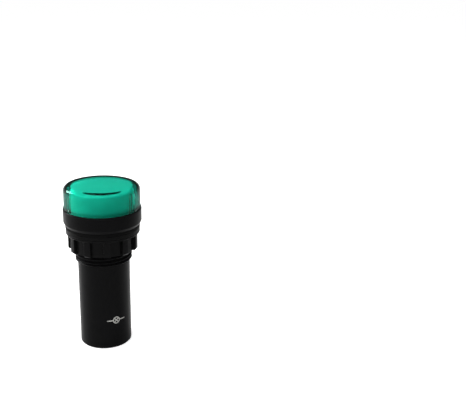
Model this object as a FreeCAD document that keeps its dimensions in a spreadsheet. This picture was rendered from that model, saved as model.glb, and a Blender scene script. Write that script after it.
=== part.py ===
import FreeCAD, Part
import os
import re

import Sketcher

# Panel pilot light, standing on its rear end. Millimetres, +Z up, origin at the middle of the foot,
# and -Y towards the front of the barrel, where terminal a sits.

SIZES = {
    # Housing: barrel, threaded neck and bezel in one moulding
    "neck_diameter": 21.76,
    "neck_length": 14.25,
    "neck_wall": 1.58,
    "neck_lead": 0.35,
    "barrel_length": 34.75,
    "barrel_step": 0.88,
    "barrel_wall": 1.6,
    "foot_bevel": 0.4,
    "bore_step_rise": 1.4,
    "bezel_draft": 0.04,
    "bezel_floor": 1.8,
    "bezel_bevel_width": 0.72,
    "bezel_bevel_height": 1.2,
    "bezel_edge_round": 0.4,
    "seal_ledge": 1.95,
    "snap_drop": 0.7,
    "snap_height": 1.0,
    "snap_depth": 0.3,
    "snap_clearance": 0.05,
    "rail_width": 1.2,
    "rail_grip": 0.8,
    "rail_clearance": 0.1,
    "rail_root": 0.5,
    # Lens cap, its seal and the diffuser
    "cap_margin": 0.42,
    "cap_rim": 0.95,
    "cap_height": 9.0,
    "cap_wall": 2.2,
    "cap_roof": 1.5,
    "cap_edge_round": 2.1,
    "cap_inner_round": 1.0,
    "cap_base_round": 0.25,
    "cap_seat_clearance": 0.05,
    "spigot_depth": 2.4,
    "cap_rib_depth": 0.35,
    "cap_rib_angle": 4.0,
    "cap_rib_count": 3,
    "cap_rib_turn": -60.9,
    "seal_height": 1.0,
    "seal_gap": 0.15,
    "seal_inset": 0.1,
    "seal_round": 0.3,
    "diffuser_gap": 0.5,
    "diffuser_wall": 1.0,
    "diffuser_roof_gap": 0.5,
    "diffuser_round": 1.0,
    "diffuser_flange_height": 0.8,
    "diffuser_flange_gap": 0.15,
    # Rings on the neck
    "gasket_reach": 0.1,
    "gasket_thickness": 1.2,
    "gasket_clearance": 0.05,
    "gasket_round": 0.25,
    "washer_thickness": 1.5,
    "washer_clearance": 0.32,
    "washer_bevel": 0.15,
    "nut_wall": 1.27,
    "nut_flange_reach": 0.7,
    "nut_flange_height": 0.9,
    "nut_flange_bevel": 0.3,
    "nut_height": 7.2,
    "nut_bore_bevel": 0.5,
    "nut_thread_clearance": 0.05,
    "tooth_depth": 1.25,
    "tooth_angle": 12.0,
    "tooth_count": 11,
    "tooth_turn": 22.6,
    "tooth_bevel": 0.5,
    # Boards and diodes
    "led_board_thickness": 1.2,
    "led_board_clearance": 0.2,
    "led_diameter": 3.0,
    "led_flange_diameter": 3.8,
    "led_flange_height": 1.0,
    "led_height": 4.6,
    "led_inset": 5.1,
    "led_count": 6,
    "link_pin_width": 0.64,
    "link_pin_spacing": 5.08,
    "link_pin_rise": 0.8,
    "link_pin_lap": 2.2,
    "link_hole_clearance": 0.1,
    "board_thickness": 1.6,
    "board_edge_gap": 0.5,
    "board_top_gap": 1.0,
    # Parts on the driver board
    "lead_width": 0.6,
    "lead_clearance": 0.1,
    "lead_tail": 0.6,
    "part_gap": 0.1,
    "dropper_inset": 2.9,
    "dropper_height": 11.0,
    "dropper_spare": 2.5,
    "dropper_lead_inset": 1.25,
    "can_spare": 1.2,
    "can_length": 11.0,
    "can_rise": 1.5,
    "can_pitch": 2.5,
    "can_round": 0.5,
    "bridge_width": 4.7,
    "bridge_height": 4.0,
    "bridge_depth": 2.5,
    "bridge_rise": 1.05,
    "bridge_lead_pitch": 2.5,
    "bridge_lead_width": 0.6,
    "bridge_lead_reach": 1.2,
    "bridge_lead_thickness": 0.25,
    "resistor_diameter": 2.3,
    "resistor_lead_reach": 1.65,
    "resistor_rise": 0.65,
    "resistor_spacing": 3.5,
    "resistor_inset": 3.1,
    # Rear terminals
    "base_inset": 0.6,
    "base_height": 12.0,
    "base_clearance": 0.05,
    "base_step": 0.4,
    "base_bevel": 0.3,
    "pocket_depth": 8.4,
    "pocket_side_gap": 0.2,
    "slot_clearance": 0.1,
    "plate_thickness": 0.8,
    "plate_width": 5.4,
    "plate_end_gap": 1.4,
    "plate_bend": 0.4,
    "tail_width": 4.0,
    "tail_height": 9.0,
    "clamp_thickness": 0.8,
    "clamp_end_gaps": 2.0,
    "clamp_lip": 0.55,
    "clamp_lip_gap": 0.15,
    "clamp_lip_height": 0.6,
    "clamp_hole_clearance": 0.3,
    "screw_outer_room": 1.0,
    "screw_diameter": 3.0,
    "screw_length": 4.0,
    "screw_tip": 0.4,
    "screw_thread_clearance": 0.05,
    "screw_hole_clearance": 0.35,
    "screw_hole_spare": 0.4,
    "screw_head_gaps": 2.5,
    "screw_head_height": 2.0,
    "screw_head_bevel": 0.6,
    "screw_slot_width": 0.8,
    "screw_slot_depth": 0.9,
    "screw_cross_length": 3.4,
}

# Levels that several pieces share, bottom to top, as expressions of the sizes
BASE_TOP = "(base_inset + base_height)"
POCKET_ROOF = "(base_inset + pocket_depth)"
PLATE_LEVEL = f"({POCKET_ROOF} - plate_thickness)"
CLAMP_LEVEL = f"({PLATE_LEVEL} - clamp_thickness)"
TAIL_TOP = f"({POCKET_ROOF} + tail_height)"
BEZEL_LEVEL = "(barrel_length + neck_length)"
LED_BOARD_LEVEL = f"({BEZEL_LEVEL} + bezel_floor)"
SEAL_LEVEL = f"({LED_BOARD_LEVEL} + led_board_thickness)"
SPIGOT_LEVEL = f"({SEAL_LEVEL} + seal_height)"
BEZEL_TOP = f"({SPIGOT_LEVEL} + spigot_depth)"
CAP_TOP = f"({BEZEL_TOP} + cap_height)"
CAP_ROOF = f"({CAP_TOP} - cap_roof)"
DIFFUSER_TOP = f"({CAP_ROOF} - diffuser_roof_gap)"
WASHER_TOP = f"({BEZEL_LEVEL} - gasket_thickness)"
NUT_TOP = f"({WASHER_TOP} - washer_thickness)"
NUT_LEVEL = f"({NUT_TOP} - nut_height)"
BOARD_TOP = f"({LED_BOARD_LEVEL} - board_top_gap)"

# Diameters and radii, from the neck out to the cap and in to the rear base
BARREL_DIAMETER = "(neck_diameter - 2 * barrel_step)"
BARREL_BORE = f"({BARREL_DIAMETER} - 2 * barrel_wall)"
BASE_BORE = f"({BARREL_BORE} / 2 + base_step)"
NECK_BORE = "(neck_diameter - 2 * neck_wall)"
NUT_CORE = "(neck_diameter + 2 * nut_wall)"
TOOTH_DIAMETER = f"({NUT_CORE} + 2 * tooth_depth)"
FLANGE_DIAMETER = f"({TOOTH_DIAMETER} + 2 * nut_flange_reach)"
GASKET_DIAMETER = f"({FLANGE_DIAMETER} + 2 * gasket_reach)"
BEZEL_DIAMETER = f"({GASKET_DIAMETER} + 2 * bezel_bevel_width)"
CAP_DIAMETER = f"({BEZEL_DIAMETER} - 2 * cap_margin)"
CAP_INSIDE = f"({CAP_DIAMETER} / 2 - cap_wall)"
CAP_SEAT = f"({CAP_DIAMETER} - 2 * cap_rim)"
SPIGOT_RADIUS = f"({CAP_SEAT} / 2 - cap_seat_clearance)"
BOARD_SEAT = f"({CAP_SEAT} - 2 * seal_ledge)"

# Driver board and its parts, sized by the barrel's bore and stacked above the terminals' tails
BOARD_FACE = "(board_thickness / 2)"
BOARD_WIDTH = f"({BARREL_BORE} - 2 * board_edge_gap)"
FACE_ROOM = f"({BARREL_BORE} / 2 - {BOARD_FACE} - part_gap)"
CAN_DIAMETER = f"({FACE_ROOM} - can_spare)"
DROPPER_DEPTH = f"({FACE_ROOM} - dropper_spare)"
DROPPER_WIDTH = f"({BOARD_WIDTH} - 2 * dropper_inset)"
DROPPER_PITCH = f"({DROPPER_WIDTH} - 2 * dropper_lead_inset)"
RESISTOR_PITCH = f"({BOARD_WIDTH} - 2 * resistor_inset)"
RESISTOR_LEVELS = [f"({TAIL_TOP} + resistor_rise + resistor_diameter / 2)"]
RESISTOR_LEVELS.append(f"({RESISTOR_LEVELS[0]} + resistor_spacing)")
BRIDGE_LEVEL = f"({RESISTOR_LEVELS[1]} + resistor_diameter / 2 + bridge_rise + bridge_height / 2)"
CAN_LEVEL = f"({BRIDGE_LEVEL} + bridge_height / 2 + can_rise)"
CAN_FEET = f"({CAN_LEVEL} - lead_width * 1.5)"
DROPPER_LEVEL = f"({CAN_FEET} + lead_width / 2 + part_gap + dropper_height / 2)"

# Rear terminals: each has the room from a face of the barrier, as thick as the driver board, to the bore
TERMINAL_ROOM = f"({BASE_BORE} - {BOARD_FACE})"
PLATE_REACH = f"({TERMINAL_ROOM} - plate_end_gap)"
POCKET_WIDTH = "(plate_width + 2 * (clamp_lip_gap + clamp_lip + pocket_side_gap))"
CLAMP_LENGTH = f"({TERMINAL_ROOM} - clamp_end_gaps)"
SCREW_OFFSET = f"({BOARD_FACE} + ({TERMINAL_ROOM} - screw_outer_room) / 2)"
SCREW_HEAD = f"({TERMINAL_ROOM} - screw_head_gaps)"

ROUGH_RADIUS = 10  # where a sketch's lines lie before their constraints place them

doc = FreeCAD.newDocument("PanelPilotLight")
sheet = doc.addObject("Spreadsheet::Sheet", "Dimensions")
for row, (alias, value) in enumerate(SIZES.items(), start=1):
    sheet.set(f"A{row}", alias)
    sheet.set(f"B{row}", str(value))
    sheet.setAlias(f"B{row}", alias)
doc.recompute()


def bound(expression):
    """Name the sheet in front of every alias of an expression, and leave functions alone."""
    return re.sub(r"\b([a-z][a-z_]*)\b(?!\()", r"Dimensions.\1", expression)


def new_body(label):
    body = doc.addObject("PartDesign::Body", label)
    body.Label = label
    return body


def sketch_on(body, label, plane, level="0"):
    """Start a sketch on one of the body's origin planes, raised along the plane's normal."""
    sketch = body.newObject("Sketcher::SketchObject", f"{body.Label}_{label}")
    support = next(item for item in body.Origin.OriginFeatures if item.Role == plane)
    sketch.AttachmentSupport = [(support, "")]
    sketch.MapMode = "FlatFace"
    sketch.setExpression(".AttachmentOffset.Base.z", bound(level))
    return sketch


def add_loop(sketch, corners):
    """Add a closed outline of straight lines whose corners are pairs of expressions."""
    first = sketch.GeometryCount
    count = len(corners)
    start = Part.Circle(FreeCAD.Vector(), FreeCAD.Vector(0, 0, 1), ROUGH_RADIUS)
    rough = [start.value(index / count * 6.28) for index in range(count)]
    for index in range(count):
        sketch.addGeometry(Part.LineSegment(rough[index], rough[(index + 1) % count]))
    for index, (across, up) in enumerate(corners):
        line = first + index
        following = first + (index + 1) % count
        sketch.addConstraint(Sketcher.Constraint("Coincident", line, 2, following, 1))
        for kind, expression in (("DistanceX", across), ("DistanceY", up)):
            constraint = sketch.addConstraint(Sketcher.Constraint(kind, -1, 1, line, 1, 1.0))
            sketch.setExpression(f"Constraints[{constraint}]", bound(expression))


def add_rectangle(sketch, left, bottom, right, top):
    add_loop(sketch, [(left, bottom), (right, bottom), (right, top), (left, top)])


def add_circle(sketch, across, up, diameter):
    circle = sketch.addGeometry(Part.Circle(FreeCAD.Vector(1, 1, 0), FreeCAD.Vector(0, 0, 1), 1))
    for kind, expression in (("DistanceX", across), ("DistanceY", up)):
        constraint = sketch.addConstraint(Sketcher.Constraint(kind, -1, 1, circle, 3, 1.0))
        sketch.setExpression(f"Constraints[{constraint}]", bound(expression))
    constraint = sketch.addConstraint(Sketcher.Constraint("Diameter", circle, 2.0))
    sketch.setExpression(f"Constraints[{constraint}]", bound(diameter))


def revolve(body, sketch, angle="360"):
    """Turn an outline about the body's upright axis, half of the angle to each side of it."""
    feature = body.newObject("PartDesign::Revolution", f"{sketch.Name}_revolved")
    feature.Profile = sketch
    feature.ReferenceAxis = (sketch, ["V_Axis"])
    feature.setExpression("Angle", bound(angle))
    feature.Midplane = True
    doc.recompute()
    return feature


def extrude(kind, body, sketch, length, side, backwards):
    feature = body.newObject(f"PartDesign::{kind}", f"{sketch.Name}_{kind.lower()}")
    feature.Profile = sketch
    feature.setExpression("Length", bound(length))
    feature.SideType = side
    feature.Reversed = backwards
    doc.recompute()
    return feature


def pad(body, sketch, length, side="One side", backwards=False):
    return extrude("Pad", body, sketch, length, side, backwards)


def pocket(body, sketch, length, side="One side", upwards=True):
    """Cut an outline out of the body, along the sketch's normal unless told otherwise."""
    before = body.Tip.Shape.Volume
    feature = extrude("Pocket", body, sketch, length, side, upwards)
    if feature.Shape.Volume >= before:
        raise RuntimeError(f"{feature.Name} cuts nothing")
    return feature


def repeat_round(body, label, features, count):
    """Repeat features evenly round the body's upright axis."""
    pattern = body.newObject("PartDesign::PolarPattern", f"{body.Label}_{label}")
    pattern.Originals = features
    pattern.Axis = (next(item for item in body.Origin.OriginFeatures if item.Role == "Z_Axis"), [""])
    pattern.Angle = 360
    pattern.setExpression("Occurrences", bound(count))
    body.Tip = pattern
    doc.recompute()
    return pattern


def dress(kind, body, label, edges, amount):
    """Fillet or chamfer the chosen edges of the body's last feature."""
    base = body.Tip
    feature = body.newObject(f"PartDesign::{kind}", f"{body.Label}_{label}")
    feature.Base = (base, edges)
    feature.setExpression("Radius" if kind == "Fillet" else "Size", bound(amount))
    doc.recompute()
    return feature


def ring_edges(body, diameter, end):
    """Names of the circular edges of a diameter that lie at the top or the bottom of the body."""
    found = []
    for index, edge in enumerate(body.Tip.Shape.Edges, start=1):
        if isinstance(edge.Curve, Part.Circle) and abs(2 * edge.Curve.Radius - diameter) < 1e-4:
            found.append((edge.Curve.Center.z, f"Edge{index}"))
    level = (max if end == "top" else min)(height for height, _ in found)
    return [name for height, name in found if abs(height - level) < 1e-4]


def edges_along(body, direction, test):
    """Names of the straight edges along a direction whose middle passes a test."""
    found = []
    for index, edge in enumerate(body.Tip.Shape.Edges, start=1):
        if not isinstance(edge.Curve, Part.Line):
            continue
        along = edge.Curve.Direction.cross(direction).Length < 1e-6
        if along and test(edge.CenterOfMass):
            found.append(f"Edge{index}")
    return found


def size(expression):
    return float(sheet.evalExpression(expression))


def snap_outline(radius, inset, depth):
    """Corners of the snap groove or bead on a radius, from its top edge down."""
    high = f"{BEZEL_TOP} - snap_drop - {inset}"
    low = f"{BEZEL_TOP} - snap_drop - snap_height + {inset}"
    return [(radius, high), (f"{radius} + {depth}", f"{high} - snap_depth"),
            (f"{radius} + {depth}", f"{low} + snap_depth"), (radius, low)]


def make_housing():
    """Bezel, neck and hollow barrel, with a seat for each board, a snap groove and rails."""
    body = new_body("housing")
    outline = sketch_on(body, "outline", "XZ_Plane")
    bezel_foot = f"{BEZEL_DIAMETER} / 2 - bezel_draft"
    neck_step = "(barrel_length + bore_step_rise)"
    seat = f"{CAP_SEAT} / 2"
    add_loop(outline, [
        (BASE_BORE, "0"),
        (f"{BARREL_DIAMETER} / 2 - foot_bevel", "0"),
        (f"{BARREL_DIAMETER} / 2", "foot_bevel"),
        (f"{BARREL_DIAMETER} / 2", "barrel_length"),
        ("neck_diameter / 2 - neck_lead", "barrel_length"),
        ("neck_diameter / 2", "barrel_length + neck_lead"),
        ("neck_diameter / 2", BEZEL_LEVEL),
        (f"{GASKET_DIAMETER} / 2", BEZEL_LEVEL),
        (bezel_foot, f"{BEZEL_LEVEL} + bezel_bevel_height"),
        (f"{BEZEL_DIAMETER} / 2", BEZEL_TOP),
        (seat, BEZEL_TOP),
        *snap_outline(seat, "0", "snap_depth"),
        (seat, SEAL_LEVEL),
        (f"{BOARD_SEAT} / 2", SEAL_LEVEL),
        (f"{BOARD_SEAT} / 2", LED_BOARD_LEVEL),
        (f"{NECK_BORE} / 2", LED_BOARD_LEVEL),
        (f"{NECK_BORE} / 2", f"{neck_step} + ({NECK_BORE} - {BARREL_BORE}) / 2"),
        (f"{BARREL_BORE} / 2", neck_step),
        (f"{BARREL_BORE} / 2", BASE_TOP),
        (BASE_BORE, BASE_TOP),
    ])
    revolve(body, outline)
    dress("Fillet", body, "bezel_edge", ring_edges(body, size(BEZEL_DIAMETER), "top"), "bezel_edge_round")

    rails = sketch_on(body, "rails", "XY_Plane", BASE_TOP)
    inner = f"{BOARD_WIDTH} / 2 - rail_grip"
    outer = f"{BARREL_BORE} / 2 + rail_root"
    near = "board_thickness / 2 + rail_clearance"
    far = f"{near} + rail_width"
    add_rectangle(rails, inner, near, outer, far)
    add_rectangle(rails, inner, f"-({far})", outer, f"-({near})")
    rail = pad(body, rails, f"barrel_length - {BASE_TOP}")
    repeat_round(body, "rail_pair", [rail], "2")
    return body


def make_lens_cap():
    """Clear cap with a spigot and a snap bead below, and ribs on its inner wall."""
    body = new_body("lens_cap")
    outline = sketch_on(body, "outline", "XZ_Plane")
    bead_depth = "(snap_depth - snap_clearance)"
    add_loop(outline, [
        (CAP_INSIDE, SPIGOT_LEVEL),
        (SPIGOT_RADIUS, SPIGOT_LEVEL),
        *reversed(snap_outline(SPIGOT_RADIUS, "snap_clearance", bead_depth)),
        (SPIGOT_RADIUS, BEZEL_TOP),
        (f"{CAP_DIAMETER} / 2", BEZEL_TOP),
        (f"{CAP_DIAMETER} / 2", CAP_TOP),
        ("0", CAP_TOP),
        ("0", CAP_ROOF),
        (CAP_INSIDE, CAP_ROOF),
    ])
    revolve(body, outline)
    outside = size(CAP_DIAMETER)
    inside = 2 * size(CAP_INSIDE)
    dress("Fillet", body, "top_edge", ring_edges(body, outside, "top"), "cap_edge_round")
    dress("Fillet", body, "inner_edge", ring_edges(body, inside, "top"), "cap_inner_round")
    dress("Fillet", body, "base_edge", ring_edges(body, outside, "bottom"), "cap_base_round")

    rib_outline = sketch_on(body, "rib", "XZ_Plane")
    add_rectangle(rib_outline, f"{CAP_INSIDE} - cap_rib_depth", SPIGOT_LEVEL,
                  f"{CAP_INSIDE} + cap_rib_depth", f"{CAP_ROOF} - cap_inner_round")
    rib = revolve(body, rib_outline, "cap_rib_angle")
    repeat_round(body, "ribs", [rib], "cap_rib_count")
    body.Placement.Rotation = FreeCAD.Rotation(FreeCAD.Vector(0, 0, 1), 0)
    body.setExpression(".Placement.Rotation.Angle", bound("cap_rib_turn"))
    return body


def make_lens_seal():
    body = new_body("lens_seal")
    section = sketch_on(body, "section", "XZ_Plane")
    add_rectangle(section, f"{CAP_INSIDE} + seal_inset", SEAL_LEVEL,
                  f"{CAP_SEAT} / 2 - seal_gap", SPIGOT_LEVEL)
    revolve(body, section)
    corners = [f"Edge{index}" for index, edge in enumerate(body.Tip.Shape.Edges, start=1)
               if isinstance(edge.Curve, Part.Circle)]
    dress("Fillet", body, "corners", corners, "seal_round")
    return body


def make_diffuser():
    """Pale cup, open below, that stands on the LED board inside the cap."""
    body = new_body("diffuser")
    outline = sketch_on(body, "outline", "XZ_Plane")
    outside = f"({CAP_INSIDE} - diffuser_gap)"
    flange = f"({CAP_INSIDE} - diffuser_flange_gap)"
    add_loop(outline, [
        (f"{outside} - diffuser_wall", SEAL_LEVEL),
        (flange, SEAL_LEVEL),
        (flange, f"{SEAL_LEVEL} + diffuser_flange_height"),
        (outside, f"{SEAL_LEVEL} + diffuser_flange_height"),
        (outside, DIFFUSER_TOP),
        ("0", DIFFUSER_TOP),
        ("0", f"{DIFFUSER_TOP} - diffuser_wall"),
        (f"{outside} - diffuser_wall", f"{DIFFUSER_TOP} - diffuser_wall"),
    ])
    revolve(body, outline)
    dress("Fillet", body, "top_edge", ring_edges(body, 2 * size(outside), "top"), "diffuser_round")
    return body


def make_ring(label, inner_radius, outer_radius, level, thickness):
    """A flat ring about the upright axis, its section drawn from its own level up."""
    body = new_body(label)
    section = sketch_on(body, "section", "XZ_Plane")
    add_rectangle(section, inner_radius, level, outer_radius, f"{level} + {thickness}")
    revolve(body, section)
    return body


def make_panel_gasket():
    body = make_ring("panel_gasket", "neck_diameter / 2 + gasket_clearance", f"{GASKET_DIAMETER} / 2",
                     WASHER_TOP, "gasket_thickness")
    outside = size(GASKET_DIAMETER)
    rims = ring_edges(body, outside, "top") + ring_edges(body, outside, "bottom")
    dress("Fillet", body, "rims", rims, "gasket_round")
    return body


def make_panel_washer():
    body = make_ring("panel_washer", "neck_diameter / 2 + washer_clearance", f"{FLANGE_DIAMETER} / 2",
                     NUT_TOP, "washer_thickness")
    outside = size(FLANGE_DIAMETER)
    rims = ring_edges(body, outside, "top") + ring_edges(body, outside, "bottom")
    dress("Chamfer", body, "rims", rims, "washer_bevel")
    return body


def make_panel_nut():
    """Ring nut with a flange above and grip teeth round its core."""
    body = new_body("panel_nut")
    outline = sketch_on(body, "outline", "XZ_Plane")
    bore = "(neck_diameter / 2 + nut_thread_clearance)"
    flange_level = f"({NUT_TOP} - nut_flange_height)"
    add_loop(outline, [
        (f"{bore} + nut_bore_bevel", NUT_LEVEL),
        (f"{NUT_CORE} / 2", NUT_LEVEL),
        (f"{NUT_CORE} / 2", flange_level),
        (f"{FLANGE_DIAMETER} / 2 - nut_flange_bevel", flange_level),
        (f"{FLANGE_DIAMETER} / 2", f"{flange_level} + nut_flange_bevel"),
        (f"{FLANGE_DIAMETER} / 2", NUT_TOP),
        (f"{bore} + nut_bore_bevel", NUT_TOP),
        (bore, f"{NUT_TOP} - nut_bore_bevel"),
        (bore, f"{NUT_LEVEL} + nut_bore_bevel"),
    ])
    revolve(body, outline)

    tooth_outline = sketch_on(body, "tooth", "XZ_Plane")
    root = f"({bore} + nut_bore_bevel)"
    add_loop(tooth_outline, [
        (root, NUT_LEVEL),
        (f"{TOOTH_DIAMETER} / 2 - tooth_bevel", NUT_LEVEL),
        (f"{TOOTH_DIAMETER} / 2", f"{NUT_LEVEL} + tooth_bevel"),
        (f"{TOOTH_DIAMETER} / 2", flange_level),
        (root, flange_level),
    ])
    tooth = revolve(body, tooth_outline, "tooth_angle")
    repeat_round(body, "teeth", [tooth], "tooth_count")
    body.Placement.Rotation = FreeCAD.Rotation(FreeCAD.Vector(0, 0, 1), 0)
    body.setExpression(".Placement.Rotation.Angle", bound("tooth_turn"))
    return body


def add_link_pins(sketch, clearance):
    """A square for each pin between the boards, on the front face of the driver board."""
    width = f"(link_pin_width / 2 + {clearance})"
    middle = f"({BOARD_FACE} + link_pin_width / 2)"
    for side in ("-", ""):
        across = f"({side}link_pin_spacing / 2)"
        add_rectangle(sketch, f"{across} - {width}", f"{middle} - {width}",
                      f"{across} + {width}", f"{middle} + {width}")


def make_led_board():
    body = new_body("led_board")
    disc = sketch_on(body, "disc", "XY_Plane", LED_BOARD_LEVEL)
    add_circle(disc, "0", "0", f"{BOARD_SEAT} - 2 * led_board_clearance")
    pad(body, disc, "led_board_thickness")
    holes = sketch_on(body, "holes", "XY_Plane", LED_BOARD_LEVEL)
    add_link_pins(holes, "link_hole_clearance")
    pocket(body, holes, "led_board_thickness")
    return body


def make_leds():
    """Domed diodes in a circle on the LED board."""
    body = new_body("leds")
    across = f"{BOARD_SEAT} / 2 - led_inset"
    flange = sketch_on(body, "flange", "XY_Plane", SEAL_LEVEL)
    add_circle(flange, across, "0", "led_flange_diameter")
    stem = sketch_on(body, "stem", "XY_Plane", SEAL_LEVEL)
    add_circle(stem, across, "0", "led_diameter")
    parts = [pad(body, flange, "led_flange_height"), pad(body, stem, "led_height")]
    repeat_round(body, "circle", parts, "led_count")
    dress("Fillet", body, "domes", ring_edges(body, size("led_diameter"), "top"), "led_diameter * 0.48")
    return body


def make_link_pins():
    body = new_body("link_pins")
    section = sketch_on(body, "section", "XY_Plane", f"{BOARD_TOP} - link_pin_lap")
    add_link_pins(section, "0")
    pad(body, section, f"link_pin_lap + board_top_gap + led_board_thickness + link_pin_rise")
    return body


def add_lead(sketch, across, up):
    """A square lead section about a point."""
    add_rectangle(sketch, f"{across} - lead_width / 2", f"{up} - lead_width / 2",
                  f"{across} + lead_width / 2", f"{up} + lead_width / 2")


def lead_places():
    """Places on the driver board where leads pass through it, across and up."""
    places = []
    for side in ("-", ""):
        places.append((f"{side}{DROPPER_PITCH} / 2", DROPPER_LEVEL))
        places.append((f"{side}can_pitch / 2", CAN_FEET))
        for level in RESISTOR_LEVELS:
            places.append((f"{side}{RESISTOR_PITCH} / 2", level))
    return places


def make_driver_board():
    body = new_body("driver_board")
    outline = sketch_on(body, "outline", "XZ_Plane")
    add_rectangle(outline, f"-{BOARD_WIDTH} / 2", BASE_TOP, f"{BOARD_WIDTH} / 2", BOARD_TOP)
    pad(body, outline, "board_thickness", side="Symmetric")
    holes = sketch_on(body, "lead_holes", "XZ_Plane")
    for across, up in lead_places():
        add_circle(holes, across, up, "lead_width * sqrt(2) + 2 * lead_clearance")
    pocket(body, holes, "board_thickness * 2", side="Symmetric")
    return body


def make_dropper_capacitor():
    """Boxed film capacitor on the board's rear face, its leads through the board."""
    body = new_body("dropper_capacitor")
    outline = sketch_on(body, "outline", "XZ_Plane", f"-({BOARD_FACE} + part_gap)")
    add_rectangle(outline, f"-{DROPPER_WIDTH} / 2", f"{DROPPER_LEVEL} - dropper_height / 2",
                  f"{DROPPER_WIDTH} / 2", f"{DROPPER_LEVEL} + dropper_height / 2")
    pad(body, outline, DROPPER_DEPTH, backwards=True)
    leads = sketch_on(body, "leads", "XZ_Plane", f"-({BOARD_FACE} + part_gap)")
    for side in ("-", ""):
        add_lead(leads, f"{side}{DROPPER_PITCH} / 2", DROPPER_LEVEL)
    pad(body, leads, "board_thickness + part_gap + lead_tail")
    return body


def make_smoothing_capacitor():
    """Upright can on the board's front face, its leads bent through the board."""
    body = new_body("smoothing_capacitor")
    middle = f"-({BOARD_FACE} + part_gap + {CAN_DIAMETER} / 2)"
    can = sketch_on(body, "can", "XY_Plane", CAN_LEVEL)
    add_circle(can, "0", middle, CAN_DIAMETER)
    pad(body, can, "can_length")
    rims = ring_edges(body, size(CAN_DIAMETER), "top") + ring_edges(body, size(CAN_DIAMETER), "bottom")
    dress("Fillet", body, "rims", rims, "can_round")
    legs = sketch_on(body, "legs", "XY_Plane", CAN_FEET)
    feet = sketch_on(body, "feet", "XZ_Plane", f"-({middle}) + lead_width / 2")
    for side in ("-", ""):
        add_lead(legs, f"{side}can_pitch / 2", middle)
        add_lead(feet, f"{side}can_pitch / 2", CAN_FEET)
    pad(body, legs, f"{CAN_LEVEL} - {CAN_FEET} + can_round")
    pad(body, feet, f"-({middle}) + lead_width / 2 + {BOARD_FACE} + lead_tail", backwards=True)
    return body


def make_bridge_rectifier():
    """Small flat package on the board's front face with two leads on each side."""
    body = new_body("bridge_rectifier")
    outline = sketch_on(body, "outline", "XZ_Plane", f"{BOARD_FACE} + part_gap")
    add_rectangle(outline, "-bridge_width / 2", f"{BRIDGE_LEVEL} - bridge_height / 2",
                  "bridge_width / 2", f"{BRIDGE_LEVEL} + bridge_height / 2")
    pad(body, outline, "bridge_depth")
    reach = "(bridge_width / 2 + bridge_lead_reach)"
    leads = sketch_on(body, "leads", "XZ_Plane", BOARD_FACE)
    for side in ("-", "+"):
        middle = f"({BRIDGE_LEVEL} {side} bridge_lead_pitch / 2)"
        add_rectangle(leads, f"-{reach}", f"{middle} - bridge_lead_width / 2",
                      reach, f"{middle} + bridge_lead_width / 2")
    pad(body, leads, "bridge_lead_thickness")
    return body


def make_resistors():
    """Two resistors across the board's front face, their leads bent through it."""
    body = new_body("resistors")
    middle = f"(-{BOARD_FACE} - part_gap - resistor_diameter / 2)"
    bodies = sketch_on(body, "bodies", "YZ_Plane")
    leads = sketch_on(body, "leads", "YZ_Plane")
    tails = sketch_on(body, "tails", "XZ_Plane", f"-({middle}) + lead_width / 2")
    for level in RESISTOR_LEVELS:
        add_circle(bodies, middle, level, "resistor_diameter")
        add_lead(leads, middle, level)
        for side in ("-", ""):
            add_lead(tails, f"{side}{RESISTOR_PITCH} / 2", level)
    pad(body, bodies, f"{RESISTOR_PITCH} - 2 * resistor_lead_reach", side="Symmetric")
    pad(body, leads, f"{RESISTOR_PITCH} + lead_width", side="Symmetric")
    pad(body, tails, f"-({middle}) + lead_width / 2 + {BOARD_FACE} + lead_tail", backwards=True)
    return body


def make_terminal_base():
    """Insert in the rear bore with a wire pocket each side of a barrier."""
    body = new_body("terminal_base")
    disc = sketch_on(body, "disc", "XY_Plane", "base_inset")
    diameter = f"2 * ({BASE_BORE} - base_clearance)"
    add_circle(disc, "0", "0", diameter)
    pad(body, disc, "base_height")
    dress("Chamfer", body, "rear_edge", ring_edges(body, size(diameter), "bottom"), "base_bevel")

    pockets = sketch_on(body, "pockets", "XY_Plane", "base_inset")
    slots = sketch_on(body, "slots", "XY_Plane", POCKET_ROOF)
    holes = sketch_on(body, "screw_holes", "XY_Plane", POCKET_ROOF)
    slot_near = f"({BOARD_FACE} - slot_clearance)"
    slot_far = f"({BOARD_FACE} + plate_thickness + slot_clearance)"
    for side in ("-", ""):
        add_rectangle(pockets, f"-{POCKET_WIDTH} / 2", f"{side}{BOARD_FACE}",
                      f"{POCKET_WIDTH} / 2", f"{side}{BARREL_DIAMETER} / 2")
        add_rectangle(slots, "-tail_width / 2 - slot_clearance", f"{side}{slot_near}",
                      "tail_width / 2 + slot_clearance", f"{side}{slot_far}")
        add_circle(holes, "0", f"{side}{SCREW_OFFSET}", "screw_diameter + 2 * screw_hole_clearance")
    pocket(body, pockets, "pocket_depth")
    pocket(body, slots, "base_height")
    pocket(body, holes, "screw_length - clamp_thickness - plate_thickness + screw_hole_spare")
    return body


def turn_half(body, side):
    """Leave a rear terminal's piece on +Y, or turn it to -Y for side a."""
    if side == "a":
        body.Placement = FreeCAD.Placement(FreeCAD.Vector(), FreeCAD.Rotation(FreeCAD.Vector(0, 0, 1), 180))


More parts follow.
